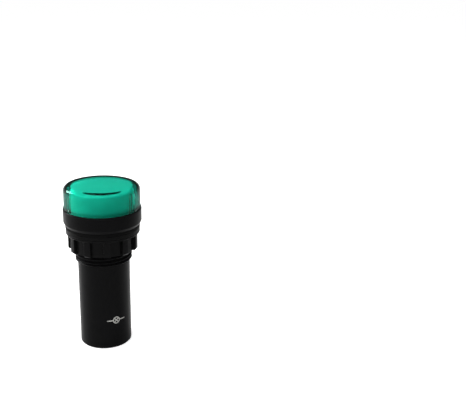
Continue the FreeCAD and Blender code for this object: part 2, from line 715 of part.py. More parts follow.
def make_terminal_plate(side):
    """Brass plate over a wire pocket, with a tail through the base to the driver board."""
    body = new_body(f"terminal_plate_{side}")
    inner = BOARD_FACE
    plate = sketch_on(body, "plate", "XY_Plane", PLATE_LEVEL)
    add_rectangle(plate, "-plate_width / 2", inner, "plate_width / 2", f"{inner} + {PLATE_REACH}")
    pad(body, plate, "plate_thickness")
    tail = sketch_on(body, "tail", "XY_Plane", PLATE_LEVEL)
    add_rectangle(tail, "-tail_width / 2", inner, "tail_width / 2", f"{inner} + plate_thickness")
    pad(body, tail, "plate_thickness + tail_height")
    hole = sketch_on(body, "hole", "XY_Plane", PLATE_LEVEL)
    add_circle(hole, "0", SCREW_OFFSET, "screw_diameter + 2 * screw_thread_clearance")
    pocket(body, hole, "plate_thickness")
    bend = edges_along(body, FreeCAD.Vector(1, 0, 0),
                       lambda middle: abs(middle.z - size(PLATE_LEVEL)) < 1e-4
                       and abs(middle.y - size(inner)) < 1e-4)
    dress("Fillet", body, "bend", bend, "plate_bend")
    turn_half(body, side)
    return body


def make_clamp_washer(side):
    """Square washer with a lip up each side of the brass plate."""
    body = new_body(f"clamp_washer_{side}")
    lip_near = "(plate_width / 2 + clamp_lip_gap)"
    lip_far = f"({lip_near} + clamp_lip)"
    near = f"{SCREW_OFFSET} - {CLAMP_LENGTH} / 2"
    far = f"{SCREW_OFFSET} + {CLAMP_LENGTH} / 2"
    plate = sketch_on(body, "plate", "XY_Plane", CLAMP_LEVEL)
    add_rectangle(plate, f"-{lip_far}", near, lip_far, far)
    pad(body, plate, "clamp_thickness")
    lips = sketch_on(body, "lips", "XY_Plane", PLATE_LEVEL)
    add_rectangle(lips, lip_near, near, lip_far, far)
    add_rectangle(lips, f"-{lip_far}", near, f"-{lip_near}", far)
    pad(body, lips, "clamp_lip_height")
    hole = sketch_on(body, "hole", "XY_Plane", CLAMP_LEVEL)
    add_circle(hole, "0", SCREW_OFFSET, "screw_diameter + 2 * clamp_hole_clearance")
    pocket(body, hole, "clamp_thickness")
    turn_half(body, side)
    return body


def make_terminal_screw(side):
    """Pan head screw that points up from the rear, with a slot and a shorter cross slot."""
    body = new_body(f"terminal_screw_{side}")
    outline = sketch_on(body, "outline", "XZ_Plane")
    head = f"{SCREW_HEAD} / 2"
    shank = "screw_diameter / 2"
    add_loop(outline, [
        ("0", "-screw_head_height"),
        (f"{head} - screw_head_bevel", "-screw_head_height"),
        (head, "-screw_head_height + screw_head_bevel"),
        (head, "0"),
        (shank, "0"),
        (shank, "screw_length - screw_tip"),
        (f"{shank} - screw_tip", "screw_length"),
        ("0", "screw_length"),
    ])
    revolve(body, outline)
    slot = sketch_on(body, "slot", "XY_Plane", "-screw_head_height")
    add_rectangle(slot, f"-{head}", "-screw_slot_width / 2", head, "screw_slot_width / 2")
    pocket(body, slot, "screw_slot_depth")
    cross = sketch_on(body, "cross", "XY_Plane", "-screw_head_height")
    add_rectangle(cross, "-screw_slot_width / 2", "-screw_cross_length / 2",
                  "screw_slot_width / 2", "screw_cross_length / 2")
    pocket(body, cross, "screw_slot_depth")
    sign = "-" if side == "a" else ""
    body.setExpression(".Placement.Base.y", bound(f"{sign}{SCREW_OFFSET}"))
    body.setExpression(".Placement.Base.z", bound(CLAMP_LEVEL))
    return body


bodies = [
    make_housing(),
    make_lens_cap(),
    make_lens_seal(),
    make_diffuser(),
    make_panel_gasket(),
    make_panel_washer(),
    make_panel_nut(),
    make_led_board(),
    make_leds(),
    make_link_pins(),
    make_driver_board(),
    make_dropper_capacitor(),
    make_smoothing_capacitor(),
    make_bridge_rectifier(),
    make_resistors(),
    make_terminal_base(),
]
for side in ("a", "b"):
    bodies += [make_terminal_plate(side), make_clamp_washer(side), make_terminal_screw(side)]
doc.recompute()

failed = [item.Label for item in doc.Objects if {"Invalid", "Error"} & set(item.State)]
failed += [body.Label for body in bodies if body.Shape.isNull() or not body.Shape.isValid()]
if failed:
    raise RuntimeError("these did not build: " + ", ".join(failed))

os.makedirs("parts", exist_ok=True)
for body in bodies:
    body.Shape.exportStep(f"parts/{body.Label}.step")
    box = body.Shape.BoundBox
    print(f"{body.Label:20s} solids {len(body.Shape.Solids)}  volume {body.Shape.Volume:9.2f}  "
          f"z {box.ZMin:6.2f} to {box.ZMax:6.2f}  x {box.XMin:6.2f} to {box.XMax:6.2f}  "
          f"y {box.YMin:6.2f} to {box.YMax:6.2f}")
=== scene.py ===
"""Looks of a panel pilot light with a clear green lens cap, standing on its rear end in a pale studio."""

import logging
import math
from collections.abc import Callable, Sequence
from dataclasses import dataclass, field
from enum import Enum

import bmesh
import bpy
from mathutils import Matrix, Vector


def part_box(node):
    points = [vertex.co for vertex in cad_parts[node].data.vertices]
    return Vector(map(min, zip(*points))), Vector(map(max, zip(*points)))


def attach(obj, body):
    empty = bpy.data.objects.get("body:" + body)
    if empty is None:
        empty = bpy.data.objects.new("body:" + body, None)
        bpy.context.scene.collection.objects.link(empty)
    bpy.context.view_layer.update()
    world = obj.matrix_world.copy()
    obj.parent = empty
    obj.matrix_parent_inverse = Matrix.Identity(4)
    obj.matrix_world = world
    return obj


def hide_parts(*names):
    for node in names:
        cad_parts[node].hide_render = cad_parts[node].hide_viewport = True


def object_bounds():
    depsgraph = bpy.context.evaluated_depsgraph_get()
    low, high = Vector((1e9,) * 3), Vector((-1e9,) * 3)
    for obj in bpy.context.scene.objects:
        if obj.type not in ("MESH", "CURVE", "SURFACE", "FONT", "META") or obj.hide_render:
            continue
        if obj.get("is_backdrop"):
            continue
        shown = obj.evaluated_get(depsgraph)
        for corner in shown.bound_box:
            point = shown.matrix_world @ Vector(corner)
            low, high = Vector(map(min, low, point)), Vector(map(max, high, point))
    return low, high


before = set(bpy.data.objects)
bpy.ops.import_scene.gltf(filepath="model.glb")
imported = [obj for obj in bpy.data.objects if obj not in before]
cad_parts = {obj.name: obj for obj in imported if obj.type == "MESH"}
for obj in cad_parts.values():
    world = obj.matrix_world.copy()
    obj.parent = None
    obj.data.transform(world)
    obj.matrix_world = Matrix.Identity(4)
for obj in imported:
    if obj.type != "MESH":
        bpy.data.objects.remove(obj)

MM = 0.001
AXIS_GAP = 1e-7  # points nearer than this to each other are one point
SMOOTH_ANGLE = 28.0  # edges that bend by more degrees than this stay sharp
CRISP, KEEN, FINE, EASED, SOFT = 0.05, 0.06, 0.08, 0.1, 0.12  # radii of small edge roundings, in millimetres
LEAST_GAP = 0.25  # even angles nearer to an exact one than this share of their step are left out
WHITE = (1.0, 1.0, 1.0, 1.0)
UP = Vector((0, 0, 1))
LOG = logging.getLogger("pilot_light")

Point = tuple[float, float]
Colour = tuple[float, float, float]
Reshape = Callable[[float, float, float], Point]


def as_is(radius: float, level: float, angle: float) -> Point:
    """Leave a point of a turned outline where it is."""
    return radius, level


def rounded(corners: Sequence[tuple[float, ...]], steps: int = 5) -> list[Point]:
    """Turn a closed outline's corners into points, with an arc at each corner that has a radius.

    Args:
        corners: Radius and level of each corner in millimetres, and the radius of its arc if it has one.
        steps: Straight pieces of each arc.

    Returns:
        The outline's points, in metres.
    """
    points = []
    for index, (radius, level, *arc) in enumerate(corners):
        here = Vector((radius, level))
        if not arc:
            points.append((here.x * MM, here.y * MM))
            continue
        before = Vector(corners[index - 1][:2]) - here
        after = Vector(corners[(index + 1) % len(corners)][:2]) - here
        half = before.angle(after) / 2
        before.normalize()
        after.normalize()
        start = here + before * arc[0] / math.tan(half)
        middle = here + (before + after).normalized() * arc[0] / math.sin(half)
        sweep = Vector(start - middle).angle_signed(here + after * arc[0] / math.tan(half) - middle)
        for step in range(steps + 1):
            spoke = (start - middle) @ Matrix.Rotation(sweep * step / steps, 2)
            points.append(((middle + spoke).x * MM, (middle + spoke).y * MM))
    return points


def with_rows(points: Sequence[Point], low: float, high: float, gap: float) -> list[Point]:
    """Divide the upright stretches of an outline that lie between two levels.

    Args:
        points: The closed outline, in metres.
        low: Level where the rows start.
        high: Level where the rows end.
        gap: Largest gap between two rows.

    Returns:
        The outline with more points on its upright stretches.
    """
    divided = []
    for index, (radius, level) in enumerate(points):
        divided.append((radius, level))
        next_radius, next_level = points[(index + 1) % len(points)]
        rise = next_level - level
        if abs(next_radius - radius) > AXIS_GAP or min(level, next_level) < low - AXIS_GAP:
            continue
        if max(level, next_level) > high + AXIS_GAP:
            continue
        count = math.ceil(abs(rise) / gap)
        divided += [(radius, level + rise * step / count) for step in range(1, count)]
    return divided


def even_angles(count: int, extra: Sequence[float] = ()) -> list[float]:
    """Angles round a full turn, with some more where a feature's edges lie.

    Args:
        count: How many even angles.
        extra: Further angles, in radians.

    Returns:
        All angles from 0 to a full turn, in order, none doubled.
    """
    gap = math.tau / count * LEAST_GAP
    exact = sorted(angle % math.tau for angle in extra)
    even = [index * math.tau / count for index in range(count)]
    kept = [angle for angle in even if all(abs((angle - other + math.pi) % math.tau - math.pi) > gap
                                           for other in exact)]
    return sorted(kept + exact)


def new_piece(name: str, shell: bmesh.types.BMesh) -> bpy.types.Object:
    """Make an object of a shell, smooth apart from its sharp edges.

    Args:
        name: Name of the object and its mesh.
        shell: The shell, which is freed.

    Returns:
        The new object, linked into the scene.
    """
    bmesh.ops.remove_doubles(shell, verts=shell.verts, dist=AXIS_GAP)
    bmesh.ops.recalc_face_normals(shell, faces=shell.faces)
    mesh = bpy.data.meshes.new(name)
    shell.to_mesh(mesh)
    shell.free()
    mesh.shade_smooth()
    mesh.set_sharp_from_angle(angle=math.radians(SMOOTH_ANGLE))
    piece = bpy.data.objects.new(name, mesh)
    bpy.context.scene.collection.objects.link(piece)
    return piece


def add_turned(shell: bmesh.types.BMesh, outline: Sequence[Point], angles: Sequence[float],
               reshape: Reshape = as_is, middle: Point = (0.0, 0.0)) -> None:
    """Turn a closed outline about an upright axis and add it to a shell.

    Args:
        shell: The shell that takes the surface.
        outline: Radius and level of each point, in metres.
        angles: Angles round the axis, in radians.
        reshape: Gives a point's radius and level for its place in the outline and its angle.
        middle: Where the axis stands.
    """
    rings = []
    for angle in angles:
        ring = []
        for radius, level in outline:
            far, high = reshape(radius, level, angle)
            place = (middle[0] + far * math.cos(angle), middle[1] + far * math.sin(angle), high)
            ring.append(shell.verts.new(place))
        rings.append(ring)
    for index, ring in enumerate(rings):
        following = rings[(index + 1) % len(rings)]
        for row in range(len(outline)):
            other = (row + 1) % len(outline)
            if outline[row][0] < AXIS_GAP and outline[other][0] < AXIS_GAP:
                continue
            shell.faces.new((ring[row], following[row], following[other], ring[other]))
    bmesh.ops.remove_doubles(shell, verts=shell.verts, dist=AXIS_GAP)


def turned_piece(name: str, outline: Sequence[Point], angles: Sequence[float],
                 reshape: Reshape = as_is, middle: Point = (0.0, 0.0)) -> bpy.types.Object:
    """Make a piece of one turned outline.

    Args:
        name: Name of the piece.
        outline: Radius and level of each point, in metres.
        angles: Angles round the axis, in radians.
        reshape: Gives a point's radius and level for its place in the outline and its angle.
        middle: Where the axis stands.

    Returns:
        The new piece.
    """
    shell = bmesh.new()
    add_turned(shell, outline, angles, reshape, middle)
    return new_piece(name, shell)


def add_block(shell: bmesh.types.BMesh, low: Sequence[float], high: Sequence[float]) -> None:
    """Add a plain block between two corners to a shell.

    Args:
        shell: The shell that takes it.
        low: Its lowest corner, in metres.
        high: Its highest corner, in metres.
    """
    middle = (Vector(low) + Vector(high)) / 2
    stretch = Matrix.Diagonal((*(Vector(high) - Vector(low)), 1.0))
    bmesh.ops.create_cube(shell, size=1.0, matrix=Matrix.Translation(middle) @ stretch)


@dataclass(frozen=True)
class Thread:
    """A right-hand screw thread with flat crests and roots."""

    pitch: float
    depth: float
    crest_level: float
    crest_angle: float
    flat_share: float = 0.22

    def groove(self, level: float, angle: float) -> float:
        """How deep the groove is at a place, from 0 on a crest to 1 at the root.

        Args:
            level: Height of the place.
            angle: Angle of the place round the axis, in radians.

        Returns:
            The share of the thread's full depth.
        """
        turns = (level - self.crest_level) / self.pitch - (angle - self.crest_angle) / math.tau
        away = abs(2 * (turns % 1.0) - 1)
        return min(1.0, max(0.0, (1 - away - self.flat_share) / (1 - 2 * self.flat_share)))


class Ray(Enum):
    """Kinds of ray that a material can tell apart."""

    CAMERA = "Is Camera Ray"
    GLOSSY = "Is Glossy Ray"
    TRANSMISSION = "Is Transmission Ray"
    SHADOW = "Is Shadow Ray"


class Axis(Enum):
    """Axes of an object, by the names of their sockets."""

    X = "X"
    Y = "Y"
    Z = "Z"


class ShaderSheet:
    """A node tree with short calls for adding and joining nodes."""

    def __init__(self, tree: bpy.types.NodeTree) -> None:
        """Start on a tree, from which any nodes are cleared."""
        self.tree = tree
        tree.nodes.clear()

    def add(self, kind: str, *sockets: tuple, **settings: object) -> bpy.types.Node:
        """Add a node.

        Args:
            kind: Blender's type of the node.
            sockets: Pairs of an input's name or place and its value, or the output that feeds it.
            settings: Values of the node's own properties.

        Returns:
            The new node.
        """
        node = self.tree.nodes.new(kind)
        for name, value in settings.items():
            setattr(node, name, value)
        for name, value in sockets:
            if isinstance(value, bpy.types.NodeSocket):
                self.tree.links.new(value, node.inputs[name])
            else:
                node.inputs[name].default_value = value
        return node

    def maths(self, operation: str, *values: object) -> bpy.types.NodeSocket:
        """Work out a sum, by Blender's name for it, from some numbers or outputs."""
        return self.add("ShaderNodeMath", *enumerate(values), operation=operation).outputs[0]

    def spread(self, value: object, low: float, high: float,
               to_low: float = 0.0, to_high: float = 1.0) -> bpy.types.NodeSocket:
        """Map an output's range from low to high onto another range, held at its ends."""
        return self.add("ShaderNodeMapRange", ("Value", value), ("From Min", low), ("From Max", high),
                        ("To Min", to_low), ("To Max", to_high)).outputs["Result"]

    def blend(self, share: object, first: object, second: object) -> bpy.types.NodeSocket:
        """Blend two colours.

        Args:
            share: How much of the second colour shows.
            first: The first colour or output.
            second: The second colour or output.

        Returns:
            The blended colour.
        """
        node = self.add("ShaderNodeMix", data_type="RGBA")
        for name, value in (("Factor_Float", share), ("A_Color", first), ("B_Color", second)):
            socket = next(item for item in node.inputs if item.identifier == name)
            if isinstance(value, bpy.types.NodeSocket):
                self.tree.links.new(value, socket)
            else:
                socket.default_value = value if name == "Factor_Float" else (*value, 1.0)
        return next(item for item in node.outputs if item.identifier == "Result_Color")

    def mix(self, share: object, first: bpy.types.NodeSocket,
            second: bpy.types.NodeSocket) -> bpy.types.NodeSocket:
        """Mix two shaders' outputs, by how much of the second one shows."""
        return self.add("ShaderNodeMixShader", (0, share), (1, first), (2, second)).outputs[0]

    def noise(self, scale: object, detail: float = 3.0,
              stretch: Sequence[float] = (1, 1, 1)) -> bpy.types.NodeSocket:
        """Noise fixed to the object.

        Args:
            scale: Waves in a metre, or an output that gives them.
            detail: Finer layers of the noise.
            stretch: Scale of the noise along each axis.

        Returns:
            The noise, from 0 to 1.
        """
        place = self.add("ShaderNodeTexCoord").outputs["Object"]
        mapped = self.add("ShaderNodeMapping", ("Vector", place), ("Scale", tuple(stretch))).outputs[0]
        return self.add("ShaderNodeTexNoise", ("Vector", mapped), ("Scale", scale),
                        ("Detail", detail)).outputs[0]

    def rays(self, *kinds: Ray) -> bpy.types.NodeSocket:
        """An output that is 1 for any of some kinds of ray.

        Args:
            kinds: The kinds of ray.

        Returns:
            The output.
        """
        path = self.add("ShaderNodeLightPath")
        found = path.outputs[kinds[0].value]
        for kind in kinds[1:]:
            found = self.maths("MAXIMUM", found, path.outputs[kind.value])
        return found


class SurfaceEffects:
    """The effects that several finishes share, each a node group built once."""

    BROAD_PATCHES = 18.0  # how many times wider than the grain the patches of tone are
    TONE_RANGE = (0.3, 0.7)
    RUBBED_EDGE = (0.53, 0.62)  # how pointed an edge is where wear starts, and where it is full
    WORN_PATCHES, WORN_RANGE, LEAST_WORN = 900.0, (0.35, 0.65), 0.2
    LEAST_UPWARD = 0.1  # dust starts to lie where a surface faces up by this much
    DUST_SPECKS, SPECK_RANGE, LEAST_SPECK = 2500.0, (0.45, 0.75), 0.1

    def __init__(self) -> None:
        """Build the three groups."""
        self.grain = self._grain()
        self.edges = self._edges()
        self.dust = self._dust()

    @staticmethod
    def _start(name: str, given: str, default: float,
               *outputs: str) -> tuple[bpy.types.NodeTree, ShaderSheet, bpy.types.NodeSocket]:
        """Start a group with one input.

        Args:
            name: The group's name.
            given: The input's name.
            default: The input's default.
            outputs: Name of each output.

        Returns:
            The group, a sheet on it, and the output that gives what comes in.
        """
        group = bpy.data.node_groups.new(name, "ShaderNodeTree")
        socket = group.interface.new_socket(given, in_out="INPUT", socket_type="NodeSocketFloat")
        socket.default_value = default
        for label in outputs:
            group.interface.new_socket(label, in_out="OUTPUT", socket_type="NodeSocketFloat")
        sheet = ShaderSheet(group)
        return group, sheet, sheet.add("NodeGroupInput").outputs[given]

    def _grain(self) -> bpy.types.NodeTree:
        """Fine unevenness of a moulded or rolled surface, and broad patches of tone.

        Returns:
            The group.
        """
        group, sheet, scale = self._start("Surface grain", "Scale", 3000.0, "Height", "Tone")
        fine = sheet.noise(scale, detail=4.0)
        broad = sheet.noise(sheet.maths("DIVIDE", scale, self.BROAD_PATCHES), detail=2.0)
        sheet.add("NodeGroupOutput", ("Height", fine), ("Tone", sheet.spread(broad, *self.TONE_RANGE)))
        return group

    def _edges(self) -> bpy.types.NodeTree:
        """Where handling has rubbed the edges, broken up by noise.

        Returns:
            The group.
        """
        group, sheet, amount = self._start("Edge wear", "Amount", 0.5, "Mask")
        ridge = sheet.add("ShaderNodeNewGeometry").outputs["Pointiness"]
        rubbed = sheet.spread(ridge, *self.RUBBED_EDGE)
        patchy = sheet.spread(sheet.noise(self.WORN_PATCHES), *self.WORN_RANGE, self.LEAST_WORN)
        mask = sheet.maths("MULTIPLY", sheet.maths("MULTIPLY", rubbed, patchy), amount)
        sheet.add("NodeGroupOutput", ("Mask", mask))
        return group

    def _dust(self) -> bpy.types.NodeTree:
        """Thin dust that lies on what faces up.

        Returns:
            The group.
        """
        group, sheet, amount = self._start("Settled dust", "Amount", 0.3, "Mask")
        normal = sheet.add("ShaderNodeNewGeometry").outputs["Normal"]
        upward = sheet.add("ShaderNodeSeparateXYZ", (0, normal)).outputs["Z"]
        lying = sheet.spread(upward, self.LEAST_UPWARD, 1.0)
        specks = sheet.spread(sheet.noise(self.DUST_SPECKS, detail=6.0), *self.SPECK_RANGE, self.LEAST_SPECK)
        mask = sheet.maths("MULTIPLY", sheet.maths("MULTIPLY", lying, specks), amount)
        sheet.add("NodeGroupOutput", ("Mask", mask))
        return group


@dataclass(frozen=True)
class Finish:
    """What every finish holds: its name and how its surface is built up."""

    name: str
    colour: Colour
    roughness: float
    specular: float = 0.5
    grain_scale: float = 3000.0
    grain_height: float = 0.004 * MM
    tone: float = 0.15
    wear: float = 0.0
    wear_colour: Colour = (0.2, 0.2, 0.2)
    wear_polish: float = 0.08
    dust: float = 0.0
    dust_colour: Colour = (0.35, 0.34, 0.32)
    dust_roughness: float = 0.4
    uneven_gloss: float = 0.1

    def colour_over(self, sheet: ShaderSheet) -> bpy.types.NodeSocket | None:
        """Colour under the wear and dust where it is more than one toned colour, or else None."""
        return None

    def finish_shader(self, sheet: ShaderSheet, shader: bpy.types.Node) -> bpy.types.NodeSocket:
        """Set what only this finish has on its principled shader, and give what goes to the surface."""
        return shader.outputs[0]

    def material(self, effects: SurfaceEffects) -> bpy.types.Material:
        """Build the material.

        Args:
            effects: The shared node groups.

        Returns:
            The new material.
        """
        made = bpy.data.materials.new(self.name)
        made.use_nodes = True
        sheet = ShaderSheet(made.node_tree)
        grain = sheet.add("ShaderNodeGroup", ("Scale", self.grain_scale), node_tree=effects.grain)
        tone = grain.outputs["Tone"]
        base = self.colour_over(sheet)
        if base is None:
            darker = tuple(part * (1 - self.tone) for part in self.colour)
            base = sheet.blend(tone, darker, self.colour)
        if self.wear:
            edges = sheet.add("ShaderNodeGroup", ("Amount", self.wear), node_tree=effects.edges)
            base = sheet.blend(edges.outputs["Mask"], base, self.wear_colour)
            rough = sheet.maths("MULTIPLY_ADD", edges.outputs["Mask"], -self.wear_polish, self.roughness)
        else:
            rough = sheet.spread(tone, 0.0, 1.0, self.roughness * (1 - self.uneven_gloss),
                                 self.roughness * (1 + self.uneven_gloss))
        if self.dust:
            dust = sheet.add("ShaderNodeGroup", ("Amount", self.dust), node_tree=effects.dust)
            base = sheet.blend(dust.outputs["Mask"], base, self.dust_colour)
            dulled = sheet.maths("MULTIPLY", dust.outputs["Mask"], self.dust_roughness)
            rough = sheet.maths("ADD", rough, dulled)
        bump = sheet.add("ShaderNodeBump", ("Height", grain.outputs["Height"]),
                         ("Distance", self.grain_height), ("Strength", 1.0))
        shader = sheet.add("ShaderNodeBsdfPrincipled", ("Base Color", base), ("Roughness", rough),
                           ("Normal", bump.outputs[0]), ("Specular IOR Level", self.specular))
        out = sheet.add("ShaderNodeOutputMaterial")
        sheet.tree.links.new(self.finish_shader(sheet, shader), out.inputs["Surface"])
        return made


@dataclass(frozen=True)
class ClearPlastic(Finish):
    """Clear tinted plastic that lets the lamps' light through to what is behind it."""

    ior: float = 1.5
    absorbed: Colour = (0.0, 0.0, 0.0)  # share of each colour lost in a metre
    sheen: Colour = (1.0, 1.0, 1.0)
    calm: float = 0.6  # share of the surface that refracts and doesn't mirror
    # painted shade: a dark diffuse colour laid over the clear plastic where it turns away from the view,
    # standing in for the dim reflections at its edges
    painted_rim_shade_colour: Colour | None = None
    painted_rim_shade_range: Point = (0.8, 0.97)  # how far the surface turns away where the painted dark edge shade starts and is full
    painted_rim_shade_share: float = 0.8
    flow_scale: float = 160.0
    flow_range: Point = (0.35, 0.65)
    thin_gain: float = 1.04

    def colour_over(self, sheet: ShaderSheet) -> bpy.types.NodeSocket:
        """Tint with faint flow marks of the moulding.

        Args:
            sheet: The material's sheet.

        Returns:
            The colour's output.
        """
        flow = sheet.noise(self.flow_scale, detail=1.0, stretch=(1, 1, 0.4))
        thin = tuple(min(1.0, part * self.thin_gain) for part in self.colour)
        return sheet.blend(sheet.spread(flow, *self.flow_range), self.colour, thin)

    def finish_shader(self, sheet: ShaderSheet, shader: bpy.types.Node) -> bpy.types.NodeSocket:
        """Make it clear, and see-through with its tint for the rays that look for a lamp, with painted shade
        in dark diffuse colour where it turns away from the view.

        Args:
            sheet: The material's sheet.
            shader: The principled shader.

        Returns:
            The output that goes to the surface.
        """
        shader.inputs["Transmission Weight"].default_value = 1.0
        shader.inputs["IOR"].default_value = self.ior
        shader.inputs["Specular Tint"].default_value = (*self.sheen, 1.0)
        tint = tuple(math.sqrt(part) for part in self.colour)
        clear = sheet.add("ShaderNodeBsdfRefraction", ("Color", (*tint, 1.0)), ("Roughness", self.roughness),
                          ("IOR", self.ior))
        body = sheet.mix(self.calm, shader.outputs[0], clear.outputs[0])
        # painted shade: mix a dark diffuse colour in where the surface turns away from the view
        if self.painted_rim_shade_colour is not None:
            facing = sheet.add("ShaderNodeLayerWeight", ("Blend", 0.5)).outputs["Facing"]
            painted_rim_shade = sheet.add("ShaderNodeBsdfDiffuse", ("Color", (*self.painted_rim_shade_colour, 1.0)))
            share = sheet.spread(facing, *self.painted_rim_shade_range, to_high=self.painted_rim_shade_share)
            body = sheet.mix(share, body, painted_rim_shade.outputs[0])
        densest = max(self.absorbed)
        if densest:
            let_through = tuple(1 - part / densest for part in self.absorbed)
            depth = sheet.add("ShaderNodeVolumeAbsorption", ("Color", (*let_through, 1.0)),
                              ("Density", densest))
            out = next(node for node in sheet.tree.nodes if node.type == "OUTPUT_MATERIAL")
            sheet.tree.links.new(depth.outputs[0], out.inputs["Volume"])
        through = sheet.add("ShaderNodeBsdfTransparent", ("Color", (*tint, 1.0)))
        return sheet.mix(sheet.rays(Ray.SHADOW), body, through.outputs[0])


@dataclass(frozen=True)
class MilkyPlastic(Finish):
    """Pale plastic in which the light spreads."""

    depth: float = 1.2 * MM
    soaked_share: float = 0.6

    def finish_shader(self, sheet: ShaderSheet, shader: bpy.types.Node) -> bpy.types.NodeSocket:
        """Let the light spread below the surface.

        Args:
            sheet: The material's sheet, which is not used.
            shader: The principled shader.

        Returns:
            The output that goes to the surface.
        """
        shader.inputs["Subsurface Weight"].default_value = self.soaked_share
        shader.inputs["Subsurface Radius"].default_value = (1.0, 1.0, 1.0)
        shader.inputs["Subsurface Scale"].default_value = self.depth
        return shader.outputs[0]


@dataclass(frozen=True)
class Metal(Finish):
    """Bare or plated metal."""

    def finish_shader(self, sheet: ShaderSheet, shader: bpy.types.Node) -> bpy.types.NodeSocket:
        """Make it metal."""
        shader.inputs["Metallic"].default_value = 1.0
        return shader.outputs[0]


@dataclass(frozen=True)
class LeadedPart(Finish):
    """A resin part and its tinned leads in one piece, told apart by place."""

    axis: Axis = Axis.Y
    leads_below: float = 0.0
    lead_colour: Colour = (0.62, 0.6, 0.57)
    band_colour: Colour | None = None
    band_middle: float = 0.0
    band_half: float = 0.0

    def colour_over(self, sheet: ShaderSheet) -> bpy.types.NodeSocket:
        """Resin, leads, and a band across the resin where it has one.

        Args:
            sheet: The material's sheet.

        Returns:
            The colour's output.
        """
        place = sheet.add("ShaderNodeSeparateXYZ", (0, sheet.add("ShaderNodeTexCoord").outputs["Object"]))
        along = place.outputs[self.axis.value]
        if self.axis is Axis.X:
            along = sheet.maths("MULTIPLY", sheet.maths("ABSOLUTE", along), -1.0)
        leads = sheet.maths("LESS_THAN", along, self.leads_below)
        base = self.colour
        if self.band_colour is not None:
            off = sheet.maths("ABSOLUTE", sheet.maths("SUBTRACT", place.outputs["X"], self.band_middle))
            base = sheet.blend(sheet.maths("LESS_THAN", off, self.band_half), self.colour, self.band_colour)
        return sheet.blend(leads, base, self.lead_colour)


@dataclass(frozen=True)
class Palette:
    """Every finish of the light."""

    housing: Finish = Finish("moulded black plastic", (0.0048, 0.0048, 0.0051), 0.3, specular=0.03,
                             grain_scale=5200.0, grain_height=0.006 * MM, wear=0.05,
                             wear_colour=(0.03, 0.03, 0.032), dust=0.02)
    nut: Finish = Finish("ring nut black plastic", (0.0056, 0.0056, 0.0058), 0.27, specular=0.035,
                         grain_scale=4400.0, grain_height=0.007 * MM, wear=0.1,
                         wear_colour=(0.035, 0.035, 0.037), dust=0.02)
    washer: Finish = Finish("washer black plastic", (0.0055, 0.0055, 0.0055), 0.34, specular=0.03,
                            grain_scale=3600.0, grain_height=0.006 * MM, wear=0.12, dust=0.01)
    gasket: Finish = Finish("black rubber", (0.0055, 0.0055, 0.0055), 0.6, specular=0.02,
                            grain_scale=2400.0, grain_height=0.02 * MM, dust=0.01)
    # the cap's dark green-grey edges, where it turns away from the view, are painted shade
    lens: Finish = ClearPlastic("clear green plastic", (0.3, 0.93, 0.83), 0.03, grain_scale=900.0,
                                grain_height=0.0008 * MM, ior=1.48, absorbed=(640.0, 185.0, 225.0),
                                sheen=(0.1, 0.8, 0.6), painted_rim_shade_colour=(0.035, 0.13, 0.12))
    diffuser: Finish = MilkyPlastic("milky diffuser plastic", (0.86, 0.9, 0.88), 0.5, grain_scale=2600.0,
                                    grain_height=0.02 * MM, tone=0.04)
    board: Finish = Finish("green laminate", (0.012, 0.085, 0.03), 0.32, grain_scale=1700.0,
                           grain_height=0.01 * MM, tone=0.3)
    lamp_board: Finish = Finish("white laminate", (0.72, 0.74, 0.72), 0.4, grain_scale=1700.0,
                                grain_height=0.008 * MM, tone=0.06)
    diode: Finish = ClearPlastic("green diode resin", (0.2, 0.8, 0.5), 0.05, grain_scale=900.0,
                                 grain_height=0.001 * MM, ior=1.53)
    film: Finish = LeadedPart("film capacitor resin", (0.5, 0.12, 0.05), 0.35, axis=Axis.Y,
                              leads_below=0.9 * MM, grain_scale=2000.0)
    can: Finish = LeadedPart("capacitor sleeve", (0.5, 0.52, 0.55), 0.28, axis=Axis.Z, leads_below=30.95 * MM,
                             band_colour=(0.02, 0.02, 0.03), band_middle=2.6 * MM, band_half=0.6 * MM)
    chip: Finish = LeadedPart("rectifier resin", (0.012, 0.012, 0.012), 0.5, axis=Axis.X,
                              leads_below=-2.36 * MM, grain_scale=3200.0, grain_height=0.02 * MM)
    resistor: Finish = LeadedPart("resistor lacquer", (0.1, 0.25, 0.33), 0.35, axis=Axis.X,
                                  leads_below=-3.16 * MM, band_colour=(0.35, 0.06, 0.02),
                                  band_middle=1.6 * MM, band_half=0.35 * MM)
    base: Finish = Finish("grey terminal plastic", (0.055, 0.057, 0.06), 0.48, grain_scale=3400.0,
                          grain_height=0.02 * MM, tone=0.2, wear=0.1, dust=0.04)
    brass: Finish = Metal("rolled brass", (0.72, 0.5, 0.2), 0.28, grain_scale=4200.0, tone=0.12,
                          wear=0.3, wear_colour=(0.86, 0.66, 0.32))
    steel: Finish = Metal("zinc plated steel", (0.62, 0.62, 0.6), 0.3, grain_scale=3800.0, tone=0.14,
                          wear=0.3, wear_colour=(0.78, 0.78, 0.76))
    tin: Finish = Metal("tinned pin", (0.66, 0.65, 0.62), 0.32, grain_scale=4200.0)
    ink: Finish = Finish("pale ink", (0.5, 0.5, 0.47), 0.55, specular=0.3, grain_scale=6000.0,
                         grain_height=0.004 * MM, tone=0.25)


